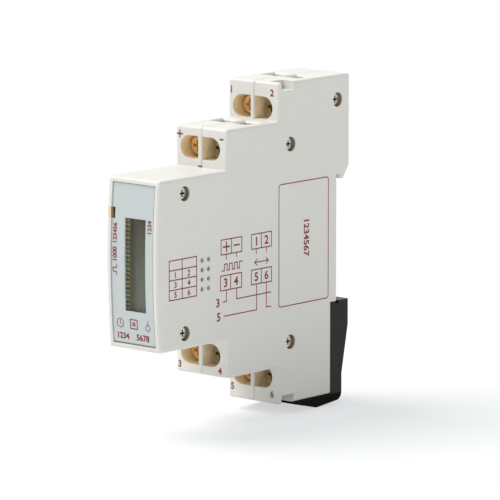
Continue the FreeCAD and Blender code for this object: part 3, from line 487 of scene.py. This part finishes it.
def makeClipMaterial():
    # Satin black with a little dust; a painted sheen on the faces that look up, a painted highlight along
    # the edges, and painted shade on the foot and the undersides, which are also dull
    graph, base = newPlastic("clipBlack", clipLook)
    dust, top, under, foot = clipLook["dust"], clipLook["top"], clipLook["under"], clipLook["foot"]
    place = graph.place()
    slope = graph.axes(graph.add("ShaderNodeNewGeometry").outputs["Normal"])["Z"]
    haze = graph.ramp(graph.noise(place, *dust["noise"]), *dust["patches"])
    dusty = graph.mix(graph.times(haze, dust["share"]), base, dust["colour"])
    # Painted sheen on the faces that look up
    withPaintedSheen = graph.mix(graph.ramp(slope, *top["slope"]), dusty, top["colour"])
    graph.set(graph.shader, "Base Color", withPaintedSheen)
    graph.set(graph.shader, "Specular IOR Level", clipLook["gloss"])
    # Painted shade: a dark dull shader on the undersides and on the foot's flank
    dull = graph.add("ShaderNodeBsdfDiffuse", Color=under["colour"])
    low = graph.times(graph.below(graph.axes(place)["Z"], *foot["top"]), foot["share"])
    share = graph.most([graph.ramp(slope, *under["slope"]), low])
    graph.set(graph.output, "Surface", graph.blend(share, graph.shader, dull).outputs[0])


makeClipMaterial()

terminalScrewLook = {
    "colour": (0.95, 0.64, 0.27),
    "scale": 2400.0,
    "roughness": 0.40,
    "metallic": 0.7,
    # Painted shade on the screws of the right column
    "right": {"side": (0.0, 0.5), "colour": (0.30, 0.22, 0.12)},
}


def makeTerminalScrewMaterial():
    # Yellow zinc, with painted shade on the screws of the right column
    graph, metal = newMetal("yellowZinc", terminalScrewLook)
    right = terminalScrewLook["right"]
    # Painted shade on the screws of the right column
    share = graph.above(graph.axes(graph.place())["X"], *right["side"])
    graph.set(graph.shader, "Base Color", graph.mix(share, metal, right["colour"]))


makeTerminalScrewMaterial()

caseScrewLook = {
    "colour": (0.76, 0.74, 0.70),
    "scale": 2600.0,
    "roughness": 0.30,
    # Painted shade in the cross recess, below the head's face
    "recess": {"depth": (-0.20, 0.15), "colour": (0.05, 0.045, 0.035), "share": 0.95},
}


def makeCaseScrewMaterial():
    # Bright head with painted shade in its cross recess
    graph, metal = newMetal("screwSteel", caseScrewLook)
    recess = caseScrewLook["recess"]
    depth, soft = recess["depth"]
    deep = graph.below(graph.axes(graph.place())["X"], caseScrews["face"] + depth, soft)
    dark = graph.mix(graph.times(deep, recess["share"]), metal, recess["colour"])
    graph.set(graph.shader, "Base Color", dark)


makeCaseScrewMaterial()

windowLook = {"tint": (0.93, 0.94, 0.92), "smears": (420.0, 3.0, 0.6), "roughness": 0.16, "ior": 1.49}


def makeWindowMaterial():
    # Clear plate: straight through, with reflections on its outer face that grow at a slant
    graph = newMaterial("clearWindow", "ShaderNodeBsdfTransparent")
    graph.set(graph.shader, "Color", windowLook["tint"])
    smear = graph.noise(graph.place(), *windowLook["smears"])
    gloss = graph.add("ShaderNodeBsdfGlossy", Roughness=graph.times(smear, windowLook["roughness"]))
    outside = graph.math("SUBTRACT", 1.0, graph.add("ShaderNodeNewGeometry").outputs["Backfacing"])
    share = graph.times(graph.add("ShaderNodeFresnel", IOR=windowLook["ior"]).outputs[0], outside)
    graph.set(graph.output, "Surface", graph.blend(share, graph.shader, gloss).outputs[0])


makeWindowMaterial()

displayLook = {
    "low": (0.185, 0.196, 0.158),
    "high": (0.092, 0.082, 0.042),
    "change": (1.0, 12.0),
    "roughness": 0.12,
    "gloss": 0.25,
    "fringes": {"turn": -32.0, "scale": 330.0, "distortion": 1.2, "side": (0.0, 3.0),
                "colour": (0.055, 0.062, 0.040), "share": 0.55},
}


def makeDisplayMaterial():
    # The display at rest: grey-green below, browner above, with faint slanting fringes on the left
    graph = newMaterial("displayGlass")
    fringes = displayLook["fringes"]
    place = graph.place()
    axes = graph.axes(place)
    height = graph.above(axes["Z"], *displayLook["change"])
    base = graph.mix(height, displayLook["low"], displayLook["high"])
    slant = graph.turned(place, turn=(0.0, math.radians(fringes["turn"]), 0.0))
    wave = graph.add("ShaderNodeTexWave", Vector=slant, Scale=fringes["scale"])
    graph.set(wave, "Distortion", fringes["distortion"])
    wave.bands_direction = "Z"
    left = graph.below(axes["X"], *fringes["side"])
    share = graph.times(graph.times(wave.outputs["Fac"], left), fringes["share"])
    graph.set(graph.shader, "Base Color", graph.mix(share, base, fringes["colour"]))
    graph.set(graph.shader, "Roughness", displayLook["roughness"])
    graph.set(graph.shader, "Specular IOR Level", displayLook["gloss"])


makeDisplayMaterial()

lampLook = {
    "light": (0.10, 0.065, 0.030),
    "dark": (0.060, 0.039, 0.018),
    "clouds": (900.0, 2.0, 0.5),
    "roughness": 0.22,
    "cheek": {"side": (-7.45, 0.03), "colour": (0.80, 0.66, 0.46)},
}


def makeLampMaterial():
    # The guide is pale where it shows in the frame and smoky brown in the panel
    graph = newMaterial("lampGuide")
    cheek = lampLook["cheek"]
    place = graph.place()
    brown = graph.mix(graph.noise(place, *lampLook["clouds"]), lampLook["light"], lampLook["dark"])
    left = graph.below(graph.axes(place)["X"], *cheek["side"])
    graph.set(graph.shader, "Base Color", graph.mix(left, brown, cheek["colour"]))
    graph.set(graph.shader, "Roughness", lampLook["roughness"])


makeLampMaterial()

boardLook = {
    "dark": (0.010, 0.085, 0.030),
    "light": (0.018, 0.14, 0.055),
    "clouds": (300.0, 3.0, 0.6),
    "roughness": 0.3,
    "weave": {"scale": 1700.0, "colour": (0.03, 0.2, 0.08), "share": 0.12},
}


def makeBoardMaterial():
    # Green lacquer over a fine weave
    graph = newMaterial("circuitBoard")
    weave = boardLook["weave"]
    place = graph.place()
    green = graph.mix(graph.noise(place, *boardLook["clouds"]), boardLook["dark"], boardLook["light"])
    squares = graph.add("ShaderNodeTexChecker", Vector=place, Scale=weave["scale"]).outputs["Fac"]
    share = graph.times(squares, weave["share"])
    graph.set(graph.shader, "Base Color", graph.mix(share, green, weave["colour"]))
    graph.set(graph.shader, "Roughness", boardLook["roughness"])


makeBoardMaterial()

# Finishes with no more to them than the numbers here
plasticLooks = {
    "chipBlack": {"colour": (0.018, 0.018, 0.020), "rubbedAndLitEdge": (0.05, 0.05, 0.05), "roughness": 0.45},
    "whiteHolder": {"colour": (0.16, 0.15, 0.12), "rubbedAndLitEdge": (0.3, 0.3, 0.28), "roughness": 0.45},
    "boxYellow": {"colour": (0.55, 0.36, 0.03), "rubbedAndLitEdge": (0.7, 0.5, 0.1), "roughness": 0.35},
    "discBlue": {"colour": (0.02, 0.08, 0.30), "rubbedAndLitEdge": (0.1, 0.2, 0.45), "roughness": 0.40},
    "canSleeve": {"colour": (0.015, 0.018, 0.035), "rubbedAndLitEdge": (0.1, 0.1, 0.15), "roughness": 0.30},
    "lampRed": {"colour": (0.45, 0.02, 0.02), "rubbedAndLitEdge": (0.6, 0.1, 0.08), "roughness": 0.25},
}
metalLooks = {
    "zincSteel": {"colour": (0.50, 0.50, 0.49), "scale": 2200.0, "roughness": 0.38},
    "copperStrip": {"colour": (0.72, 0.36, 0.20), "scale": 1800.0, "roughness": 0.32},
    "tinnedPins": {"colour": (0.62, 0.47, 0.22), "scale": 2600.0, "roughness": 0.30},
}
patchyLooks = {
    "printInk": {"colour": (0.25, 0.014, 0.026), "dull": (0.155, 0.00868, 0.01612), "roughness": 0.5,
                 "noise": (1900.0, 3.0, 0.7), "patches": (0.35, 0.75)},
    "contactGilt": {"colour": (1.0, 0.86, 0.46), "dull": (0.52, 0.38, 0.14), "roughness": 0.35,
                    "noise": (1500.0, 3.0, 0.6), "patches": (0.3, 0.75)},
    "contactBed": {"colour": (0.30, 0.26, 0.11), "dull": (0.08, 0.09, 0.045), "roughness": 0.35,
                   "noise": (1500.0, 3.0, 0.6), "patches": (0.3, 0.75)},
}


def makePlainMaterials():
    for name, look in plasticLooks.items():
        newPlastic(name, look)
    for name, look in metalLooks.items():
        newMetal(name, look)
    for name, look in patchyLooks.items():
        makePatchy(name, look)


makePlainMaterials()

# The CAD nodes that wear each material; the terminals' nodes go by the first word of their names
finishes = {
    "caseShell": ("case_left_shell", "case_right_shell"),
    "labelPlate": ("label_panel",),
    "clearWindow": ("display_window",),
    "displayGlass": ("lcd_glass",),
    "lampGuide": ("pulse_guide",),
    "clipBlack": ("din_clip",),
    "screwSteel": ("case_screws",),
    "yellowZinc": ("screw",),
    "zincSteel": ("cage", "shunt", "crystal", "clip_spring"),
    "copperStrip": ("bar",),
    "tinnedPins": ("lcd_pins",),
    "circuitBoard": ("main_board", "display_board"),
    "chipBlack": ("controller_chip", "metering_chip", "bus_transceiver", "optocoupler", "service_header",
                  "board_link"),
    "whiteHolder": ("lcd_backlight",),
    "boxYellow": ("film_capacitor",),
    "discBlue": ("varistor",),
    "canSleeve": ("supply_capacitors",),
    "lampRed": ("pulse_led",),
}


def finishNodes():
    finishOf = {node: finish for finish, group in finishes.items() for node in group}
    for name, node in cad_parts.items():
        finish = finishOf.get(name) or finishOf[name.split("_")[0]]
        node.data.materials.clear()
        node.data.materials.append(materials[finish])


finishNodes()
print("materials done")


def newPiece(name, bm, material, smooth=False):
    mesh = bpy.data.meshes.new(name)
    bm.to_mesh(mesh)
    bm.free()
    mesh.materials.append(materials[material])
    for face in mesh.polygons:
        face.use_smooth = smooth
    piece = bpy.data.objects.new(name, mesh)
    bpy.context.scene.collection.objects.link(piece)
    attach(piece, "case")
    return piece


# Print is drawn flat, and each stroke or figure is then laid on the surface that carries it; a surface is
# a function that gives the place of a flat point, and the print stands this far off it
printGap = 0.010


def onFront(depth):
    # An upright plane that faces the front
    return lambda x, z: Vector((x, depth, z)) * mm


def lay(bm, flat, surface):
    for vert in flat.verts:
        vert.co = surface(vert.co.x, vert.co.y)
    mesh = bpy.data.meshes.new("flat")
    flat.to_mesh(mesh)
    flat.free()
    bm.from_mesh(mesh)
    bpy.data.meshes.remove(mesh)


def newPlate(middle, size, turn=0.0):
    # One flat face, turned by an angle in radians
    spin = Matrix.Rotation(turn, 4, "Z")
    matrix = Matrix.Translation((*middle, 0.0)) @ spin @ Matrix.Diagonal((*size, 1.0, 1.0))
    flat = bmesh.new()
    bmesh.ops.create_grid(flat, x_segments=1, y_segments=1, size=0.5, matrix=matrix)  # Half of its width
    return flat


def newBox(u, v, extra=0.0):
    # One flat face between two values of u and of v, with something extra all round
    middle = ((u[0] + u[1]) / 2, (v[0] + v[1]) / 2)
    return newPlate(middle, (u[1] - u[0] + 2 * extra, v[1] - v[0] + 2 * extra))


def keepBand(flat, width):
    # Leaves a band along the outline of a face
    middle = flat.faces[:]
    bmesh.ops.inset_region(flat, faces=middle, thickness=width, use_boundary=True, use_even_offset=True)
    bmesh.ops.delete(flat, geom=middle, context="FACES")


def addPlate(bm, surface, u, v):
    lay(bm, newBox(u, v), surface)


def addStroke(bm, surface, a, b, width):
    # A straight stroke from a to b, half a width longer at each end
    middle = ((a[0] + b[0]) / 2, (a[1] + b[1]) / 2)
    turn = math.atan2(b[1] - a[1], b[0] - a[0])
    lay(bm, newPlate(middle, (math.dist(a, b) + width, width), turn), surface)


def addPath(bm, surface, spots, width):
    for a, b in zip(spots, spots[1:]):
        addStroke(bm, surface, a, b, width)


def addFrame(bm, surface, u, v, width, radius=0.0, segments=6):
    # A rectangle in outline, with round corners if it has a radius
    flat = newBox(u, v, width / 2)
    if radius:
        bmesh.ops.bevel(flat, geom=flat.verts[:], offset=radius + width / 2, affect="VERTICES",
                        segments=segments, profile=0.5, material=-1)
    keepBand(flat, width)
    lay(bm, flat, surface)


def addRing(bm, surface, u, v, radius, width, segments=24):
    flat = bmesh.new()
    bmesh.ops.create_circle(flat, cap_ends=True, segments=segments, radius=radius + width / 2,
                            matrix=Matrix.Translation((u, v, 0.0)))
    keepBand(flat, width)
    lay(bm, flat, surface)


# The reach is a share of the sign's height, and the weight one of the font's size
signs = {"reach": 0.45, "stroke": 0.45, "weight": 0.03}


def addMinus(bm, surface, u, v, height):
    reach = signs["reach"] * height
    addStroke(bm, surface, (u - reach, v), (u + reach, v), signs["stroke"])


def addPlus(bm, surface, u, v, height):
    # The upright is in two strokes, so that no face lies on another
    reach, stroke = signs["reach"] * height, signs["stroke"]
    addMinus(bm, surface, u, v, height)
    addStroke(bm, surface, (u, v - reach), (u, v - stroke), stroke)
    addStroke(bm, surface, (u, v + stroke), (u, v + reach), stroke)


def newFigures(text):
    # Flat figures in the built-in font, made a little heavier
    curve = bpy.data.curves.new("figures", "FONT")
    curve.body = text
    curve.offset = signs["weight"]
    holder = bpy.data.objects.new("figures", curve)
    bpy.context.scene.collection.objects.link(holder)
    mesh = bpy.data.meshes.new_from_object(holder)
    bpy.data.objects.remove(holder)
    bpy.data.curves.remove(curve)
    flat = bmesh.new()
    flat.from_mesh(mesh)
    bpy.data.meshes.remove(mesh)
    return flat


def addFigures(bm, surface, text, u, v, height, turn=0.0):
    # Figures of that height with their middle at u and v, turned by an angle in degrees
    flat = newFigures(text)
    across = [vert.co.x for vert in flat.verts]
    upward = [vert.co.y for vert in flat.verts]
    middle = Vector(((min(across) + max(across)) / 2, (min(upward) + max(upward)) / 2, 0.0))
    size = Matrix.Scale(height / (max(upward) - min(upward)), 4)
    spin = Matrix.Rotation(math.radians(turn), 4, "Z")
    matrix = Matrix.Translation((u, v, 0.0)) @ spin @ size @ Matrix.Translation(-middle)
    bmesh.ops.transform(flat, matrix=matrix, verts=flat.verts[:])
    lay(bm, flat, surface)


def addSign(bm, surface, sign, u, v, height):
    if sign == "+":
        addPlus(bm, surface, u, v, height)
    elif sign == "-":
        addMinus(bm, surface, u, v, height)
    else:
        addFigures(bm, surface, sign, u, v, height)


# Right side, as (y, z): a table of figures, four boxes with their wires, a wave, an arrow and a tall frame
sidePrint = {
    "x": 9.0,
    "line": 0.30,
    "table": {"y": (-66.8, -56.2), "z": (-7.95, 2.4), "middle": -61.8, "rows": 4, "column": 5.2,
              "height": 1.6, "figures": (("1", "2"), ("3", "4"), ("5", "6"))},
    "boxes": (
        {"y": (-46.6, -38.4), "z": (1.53, 5.45), "middle": -42.45},
        {"y": (-34.5, -26.5), "z": (1.53, 5.45), "middle": -30.6},
        {"y": (-46.85, -38.5), "z": (-7.95, -4.05), "middle": -42.85},
        {"y": (-34.6, -26.5), "z": (-7.9, -4.02), "middle": -30.6},
    ),
    "wires": (
        ((-44.52, 1.53), (-44.52, 0.2)),
        ((-40.48, 1.53), (-40.48, 0.45)),
        ((-32.63, 1.53), (-32.63, 0.25)),
        ((-28.57, 1.53), (-28.57, 0.17)),
        ((-44.53, -7.95), (-44.53, -11.0), (-45.9, -11.0)),
        ((-40.48, -7.95), (-40.48, -10.8), (-26.8, -10.8)),
        ((-32.5, -7.9), (-32.5, -14.8), (-45.5, -14.8)),
        ((-28.57, -7.9), (-28.57, -14.6), (-26.8, -14.6)),
    ),
    "signs": (
        ("+", -44.5, 3.5, 2.6),
        ("-", -40.45, 3.5, 2.2),
        ("1", -32.55, 3.5, 2.4),
        ("2", -28.55, 3.5, 2.4),
        ("3", -44.85, -6.0, 2.4),
        ("4", -40.7, -6.0, 2.4),
        ("5", -32.6, -5.95, 2.4),
        ("6", -28.55, -5.95, 2.4),
        ("3", -47.9, -11.0, 2.35),
        ("5", -47.6, -14.8, 2.35),
    ),
    "wave": {"y": -46.2, "z": -2.75, "high": 1.7, "low": 0.9, "pitch": 2.0, "count": 4},
    "arrow": {"y": -30.5, "z": -2.1, "width": 5.4, "back": 0.9, "spread": 0.8},
    "frame": {"y": (-23.5, -3.3), "z": (-15.4, 17.4), "radius": 0.8,
              "figures": "1234567", "spot": (-12.3, 1.9), "height": 2.3, "turn": -90.0},
}


def onSide(y, z):
    return Vector((sidePrint["x"] + printGap, y, z)) * mm


def addTable(bm, width):
    table = sidePrint["table"]
    (left, right), (bottom, top) = table["y"], table["z"]
    step = (top - bottom) / table["rows"]
    addFrame(bm, onSide, table["y"], table["z"], width)
    addStroke(bm, onSide, (table["middle"], bottom), (table["middle"], top), width)
    for i in range(1, table["rows"]):
        addStroke(bm, onSide, (left, bottom + i * step), (right, bottom + i * step), width)
    for i, pair in enumerate(table["figures"]):
        for j, figure in enumerate(pair):
            y = table["middle"] + (j - 0.5) * table["column"]
            addFigures(bm, onSide, figure, y, top - (i + 1.5) * step, table["height"])


def addBoxes(bm, width):
    for box in sidePrint["boxes"]:
        addFrame(bm, onSide, box["y"], box["z"], width)
        addStroke(bm, onSide, (box["middle"], box["z"][0]), (box["middle"], box["z"][1]), width)
    for wire in sidePrint["wires"]:
        addPath(bm, onSide, wire, width)
    for sign, y, z, height in sidePrint["signs"]:
        addSign(bm, onSide, sign, y, z, height)


def addWave(bm, width):
    # A square wave between the left boxes
    wave = sidePrint["wave"]
    bottom, top = wave["z"], wave["z"] + wave["high"]
    spots = []
    for i in range(wave["count"]):
        start, end = wave["y"] + i * wave["pitch"], wave["y"] + (i + 1) * wave["pitch"]
        rise = start + wave["low"]
        spots += [(start, bottom), (rise, bottom), (rise, top), (end, top)]
    addPath(bm, onSide, spots, width)


def addArrow(bm, width):
    # A double arrow between the right boxes
    arrow = sidePrint["arrow"]
    y, z, half = arrow["y"], arrow["z"], arrow["width"] / 2
    addStroke(bm, onSide, (y - half, z), (y + half, z), width)
    for side in (-1, 1):
        tip = y + side * half
        back = tip - side * arrow["back"]
        addPath(bm, onSide, ((back, z + arrow["spread"]), (tip, z), (back, z - arrow["spread"])), width)


def makeSidePrint():
    bm = bmesh.new()
    width, tall = sidePrint["line"], sidePrint["frame"]
    addTable(bm, width)
    addBoxes(bm, width)
    addWave(bm, width)
    addArrow(bm, width)
    addFrame(bm, onSide, tall["y"], tall["z"], width, tall["radius"])
    addFigures(bm, onSide, tall["figures"], *tall["spot"], tall["height"], tall["turn"])
    newPiece("sidePrint", bm, "printInk")


makeSidePrint()

# Beside the terminals: the sign, its tier, its place (x, z) and its height
tierPrint = (
    ("1", "endTop", -7.8, 41.5, 1.9),
    ("2", "endTop", 6.4, 41.65, 1.9),
    ("+", "midTop", -7.5, 31.8, 1.8),
    ("-", "midTop", 7.06, 31.5, 1.0),
    ("3", "midLow", -7.7, -29.6, 1.9),
    ("4", "midLow", 6.45, -29.9, 1.9),
    ("5", "endLow", -7.5, -38.6, 1.9),
    ("6", "endLow", 6.5, -39.2, 1.9),
)


def makeTierPrint():
    bm = bmesh.new()
    for sign, tier, x, z, height in tierPrint:
        addSign(bm, onFront(tiers[tier]["face"] - printGap), sign, x, z, height)
    newPiece("tierPrint", bm, "printInk")


makeTierPrint()

# Front panel, as (x, z), and the curve of its face; the gap is wider here, because the face has facets.
# The figures are given with their place, height and turn
panelPrint = {
    "face": {"y": -71.0, "middle": 1.0, "radius": 230.69, "gap": 0.030},
    "clock": {"spot": (-4.75, -14.7), "radius": 1.15, "line": 0.2,
              "hands": ((0.0, 0.7), (0.4, -0.3)), "hand": 0.22},
    "square": {"spot": (-0.05, -14.65), "half": 1.2, "line": 0.28,
               "ring": 0.42, "ringLine": 0.34, "sides": 12},
    "drop": {"spot": (4.85, -14.8), "radius": 0.75, "down": 0.35, "stem": (0.5, 1.5), "line": 0.2},
    "pulse": ((-5.6, -2.1), (-5.6, -1.3), (-6.8, -1.3), (-6.8, -0.3), (-5.6, -0.3), (-5.6, 0.5)),
    "pulseLine": 0.26,
    "figures": (
        ("1000", -6.2, 3.4, 1.5, 90.0),
        ("123456", -6.2, 8.9, 1.4, 90.0),
        ("1234", 5.8, 11.4, 1.4, 90.0),
        ("1234", -3.9, -18.0, 1.65, 0.0),
        ("5678", 2.9, -18.0, 1.75, 0.0),
    ),
}


def onPanel(x, z):
    face = panelPrint["face"]
    radius, rise = face["radius"], z - face["middle"]
    sag = radius - math.sqrt(radius * radius - rise * rise)
    return Vector((x, face["y"] + sag - face["gap"], z)) * mm


def addClock(bm):
    clock = panelPrint["clock"]
    u, v = clock["spot"]
    addRing(bm, onPanel, u, v, clock["radius"], clock["line"])
    for across, up in clock["hands"]:
        addStroke(bm, onPanel, (u, v), (u + across, v + up), clock["hand"])


def addSquare(bm):
    square = panelPrint["square"]
    u, v = square["spot"]
    half = square["half"]
    addFrame(bm, onPanel, (u - half, u + half), (v - half, v + half), square["line"])
    addRing(bm, onPanel, u, v, square["ring"], square["ringLine"], square["sides"])


def addDrop(bm):
    drop = panelPrint["drop"]
    u, v = drop["spot"]
    low, high = drop["stem"]
    addRing(bm, onPanel, u, v - drop["down"], drop["radius"], drop["line"])
    addStroke(bm, onPanel, (u, v + low), (u, v + high), drop["line"])


def makePanelPrint():
    bm = bmesh.new()
    addClock(bm)
    addSquare(bm)
    addDrop(bm)
    addPath(bm, onPanel, panelPrint["pulse"], panelPrint["pulseLine"])
    for text, x, z, height, turn in panelPrint["figures"]:
        addFigures(bm, onPanel, text, x, z, height, turn)
    newPiece("panelPrint", bm, "printInk")


makePanelPrint()
print("print done")

# The contact clips along the display's left edge, on a dark bed, seen slantwise through the window
contacts = {
    "left": -4.7,
    "bedRight": -2.62,
    "clipRight": -2.84,
    "z": (-11.9, 13.6),
    "bedFace": -68.873,
    "clipFace": -68.885,
    "first": 0.87,
    "pitch": 1.16,
    "height": 0.58,
}


def makeContacts():
    bed, clips = bmesh.new(), bmesh.new()
    bottom, top = contacts["z"]
    left, half = contacts["left"], contacts["height"] / 2
    addPlate(bed, onFront(contacts["bedFace"]), (left, contacts["bedRight"]), (bottom, top))
    for i in range(int((top - bottom) / contacts["pitch"])):
        z = bottom + contacts["first"] + i * contacts["pitch"]
        addPlate(clips, onFront(contacts["clipFace"]), (left, contacts["clipRight"]), (z - half, z + half))
    newPiece("contactBed", bed, "contactBed")
    newPiece("contactClips", clips, "contactGilt")


makeContacts()
print("contacts done")

# The spring inside that pushes the clip up; low and high are the middle of the wire at its ends, and press
# is how much shorter the spring is when the clip is all the way down
coil = {
    "radius": 2.0,
    "wire": 0.225,
    "sides": 8,
    "turns": 4,
    "stepsPerTurn": 24,
    "y": -8.0,
    "low": -29.92,
    "high": -19.58,
    "press": 4.2,
    "doubles": 0.001,
}


def makeCoil():
    # A round section, swept up along a helix
    bm = bmesh.new()
    section = Matrix.Translation((coil["radius"], 0.0, 0.0)) @ Matrix.Rotation(math.pi / 2, 4, "X")
    bmesh.ops.create_circle(bm, cap_ends=True, segments=coil["sides"], radius=coil["wire"], matrix=section)
    steps = coil["turns"] * coil["stepsPerTurn"]
    rise = (coil["high"] - coil["low"]) / steps
    bmesh.ops.spin(bm, geom=bm.verts[:] + bm.edges[:] + bm.faces[:], cent=(0.0, 0.0, 0.0),
                   axis=(0.0, 0.0, 1.0), dvec=(0.0, 0.0, rise), angle=2 * math.pi * coil["turns"],
                   steps=steps, use_merge=False)
    bmesh.ops.remove_doubles(bm, verts=bm.verts[:], dist=coil["doubles"])
    bmesh.ops.recalc_face_normals(bm, faces=bm.faces[:])
    place = Matrix.Scale(mm, 4) @ Matrix.Translation((0.0, coil["y"], coil["low"]))
    bmesh.ops.transform(bm, matrix=place, verts=bm.verts[:])
    piece = newPiece("clipCoil", bm, "zincSteel", smooth=True)
    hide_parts("clip_spring")
    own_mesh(piece)


makeCoil()
print("spring done")

sky = {"colour": (0.955, 0.98, 1.0), "strength": 0.525, "seen": (1.0, 1.0, 1.0)}


def makeSky():
    # Soft light on things, and plain white where it is seen
    world = bpy.data.worlds.new("world")
    bpy.context.scene.world = world
    world.use_nodes = True
    graph = Graph(world.node_tree)
    graph.tree.nodes.clear()
    soft = graph.add("ShaderNodeBackground", Color=sky["colour"], Strength=sky["strength"])
    white = graph.add("ShaderNodeBackground", Color=sky["seen"], Strength=1.0)
    output = graph.add("ShaderNodeOutputWorld")
    graph.set(output, "Surface", graph.blend(seenRays(graph), soft, white).outputs[0])


makeSky()

# Degrees; the size is the angle that the lamp takes up, and it stands for soft shadows
sun = {"azimuth": -61.0, "elevation": 54.5, "size": 40.0, "colour": (1.0, 0.975, 0.92), "strength": 2.85}


def makeSun():
    data = bpy.data.lights.new("sun", "SUN")
    data.energy = sun["strength"]
    data.angle = math.radians(sun["size"])
    data.color = sun["colour"]
    back = towards(sun["azimuth"], sun["elevation"])
    putUp("sun", data, back, back)


makeSun()

# Metres and watts; it stands low on the right and lifts the foot of the meter's side
softbox = {"spot": (0.45, -0.25, -0.015), "size": (0.45, 0.16), "power": 0.29}


def makeSoftbox():
    data = bpy.data.lights.new("softbox", "AREA")
    data.shape = "RECTANGLE"
    data.size, data.size_y = softbox["size"]
    data.energy = softbox["power"]
    spot = Vector(softbox["spot"])
    putUp("softbox", data, spot, spot - Vector(camera["target"]))


makeSoftbox()

# Metres; part of the floor's white shines by itself, but only where it is seen
floor = {
    "reach": 6.0,
    "drop": 0.0002,
    "colour": (0.87, 0.87, 0.87),
    "glow": (0.965, 0.985, 1.0),
    "share": 0.60,
}


def makeFloor():
    bm = bmesh.new()
    level = Matrix.Translation((0.0, 0.0, cadLow.z - floor["drop"]))
    bmesh.ops.create_grid(bm, x_segments=1, y_segments=1, size=floor["reach"], matrix=level)
    mesh = bpy.data.meshes.new("floor")
    bm.to_mesh(mesh)
    bm.free()
    ground = bpy.data.objects.new("floor", mesh)
    bpy.context.scene.collection.objects.link(ground)
    graph = newMaterial("floorWhite", "ShaderNodeBsdfDiffuse")
    graph.set(graph.shader, "Color", floor["colour"])
    glow = graph.add("ShaderNodeEmission", Color=floor["glow"], Strength=1.0)
    lit = graph.blend(graph.times(seenRays(graph), floor["share"]), graph.shader, glow)
    under = graph.add("ShaderNodeNewGeometry").outputs["Backfacing"]
    clear = graph.add("ShaderNodeBsdfTransparent")  # From below, so that the underside can be looked at
    graph.set(graph.output, "Surface", graph.blend(under, lit, clear).outputs[0])
    mesh.materials.append(materials["floorWhite"])


makeFloor()
print("light done")
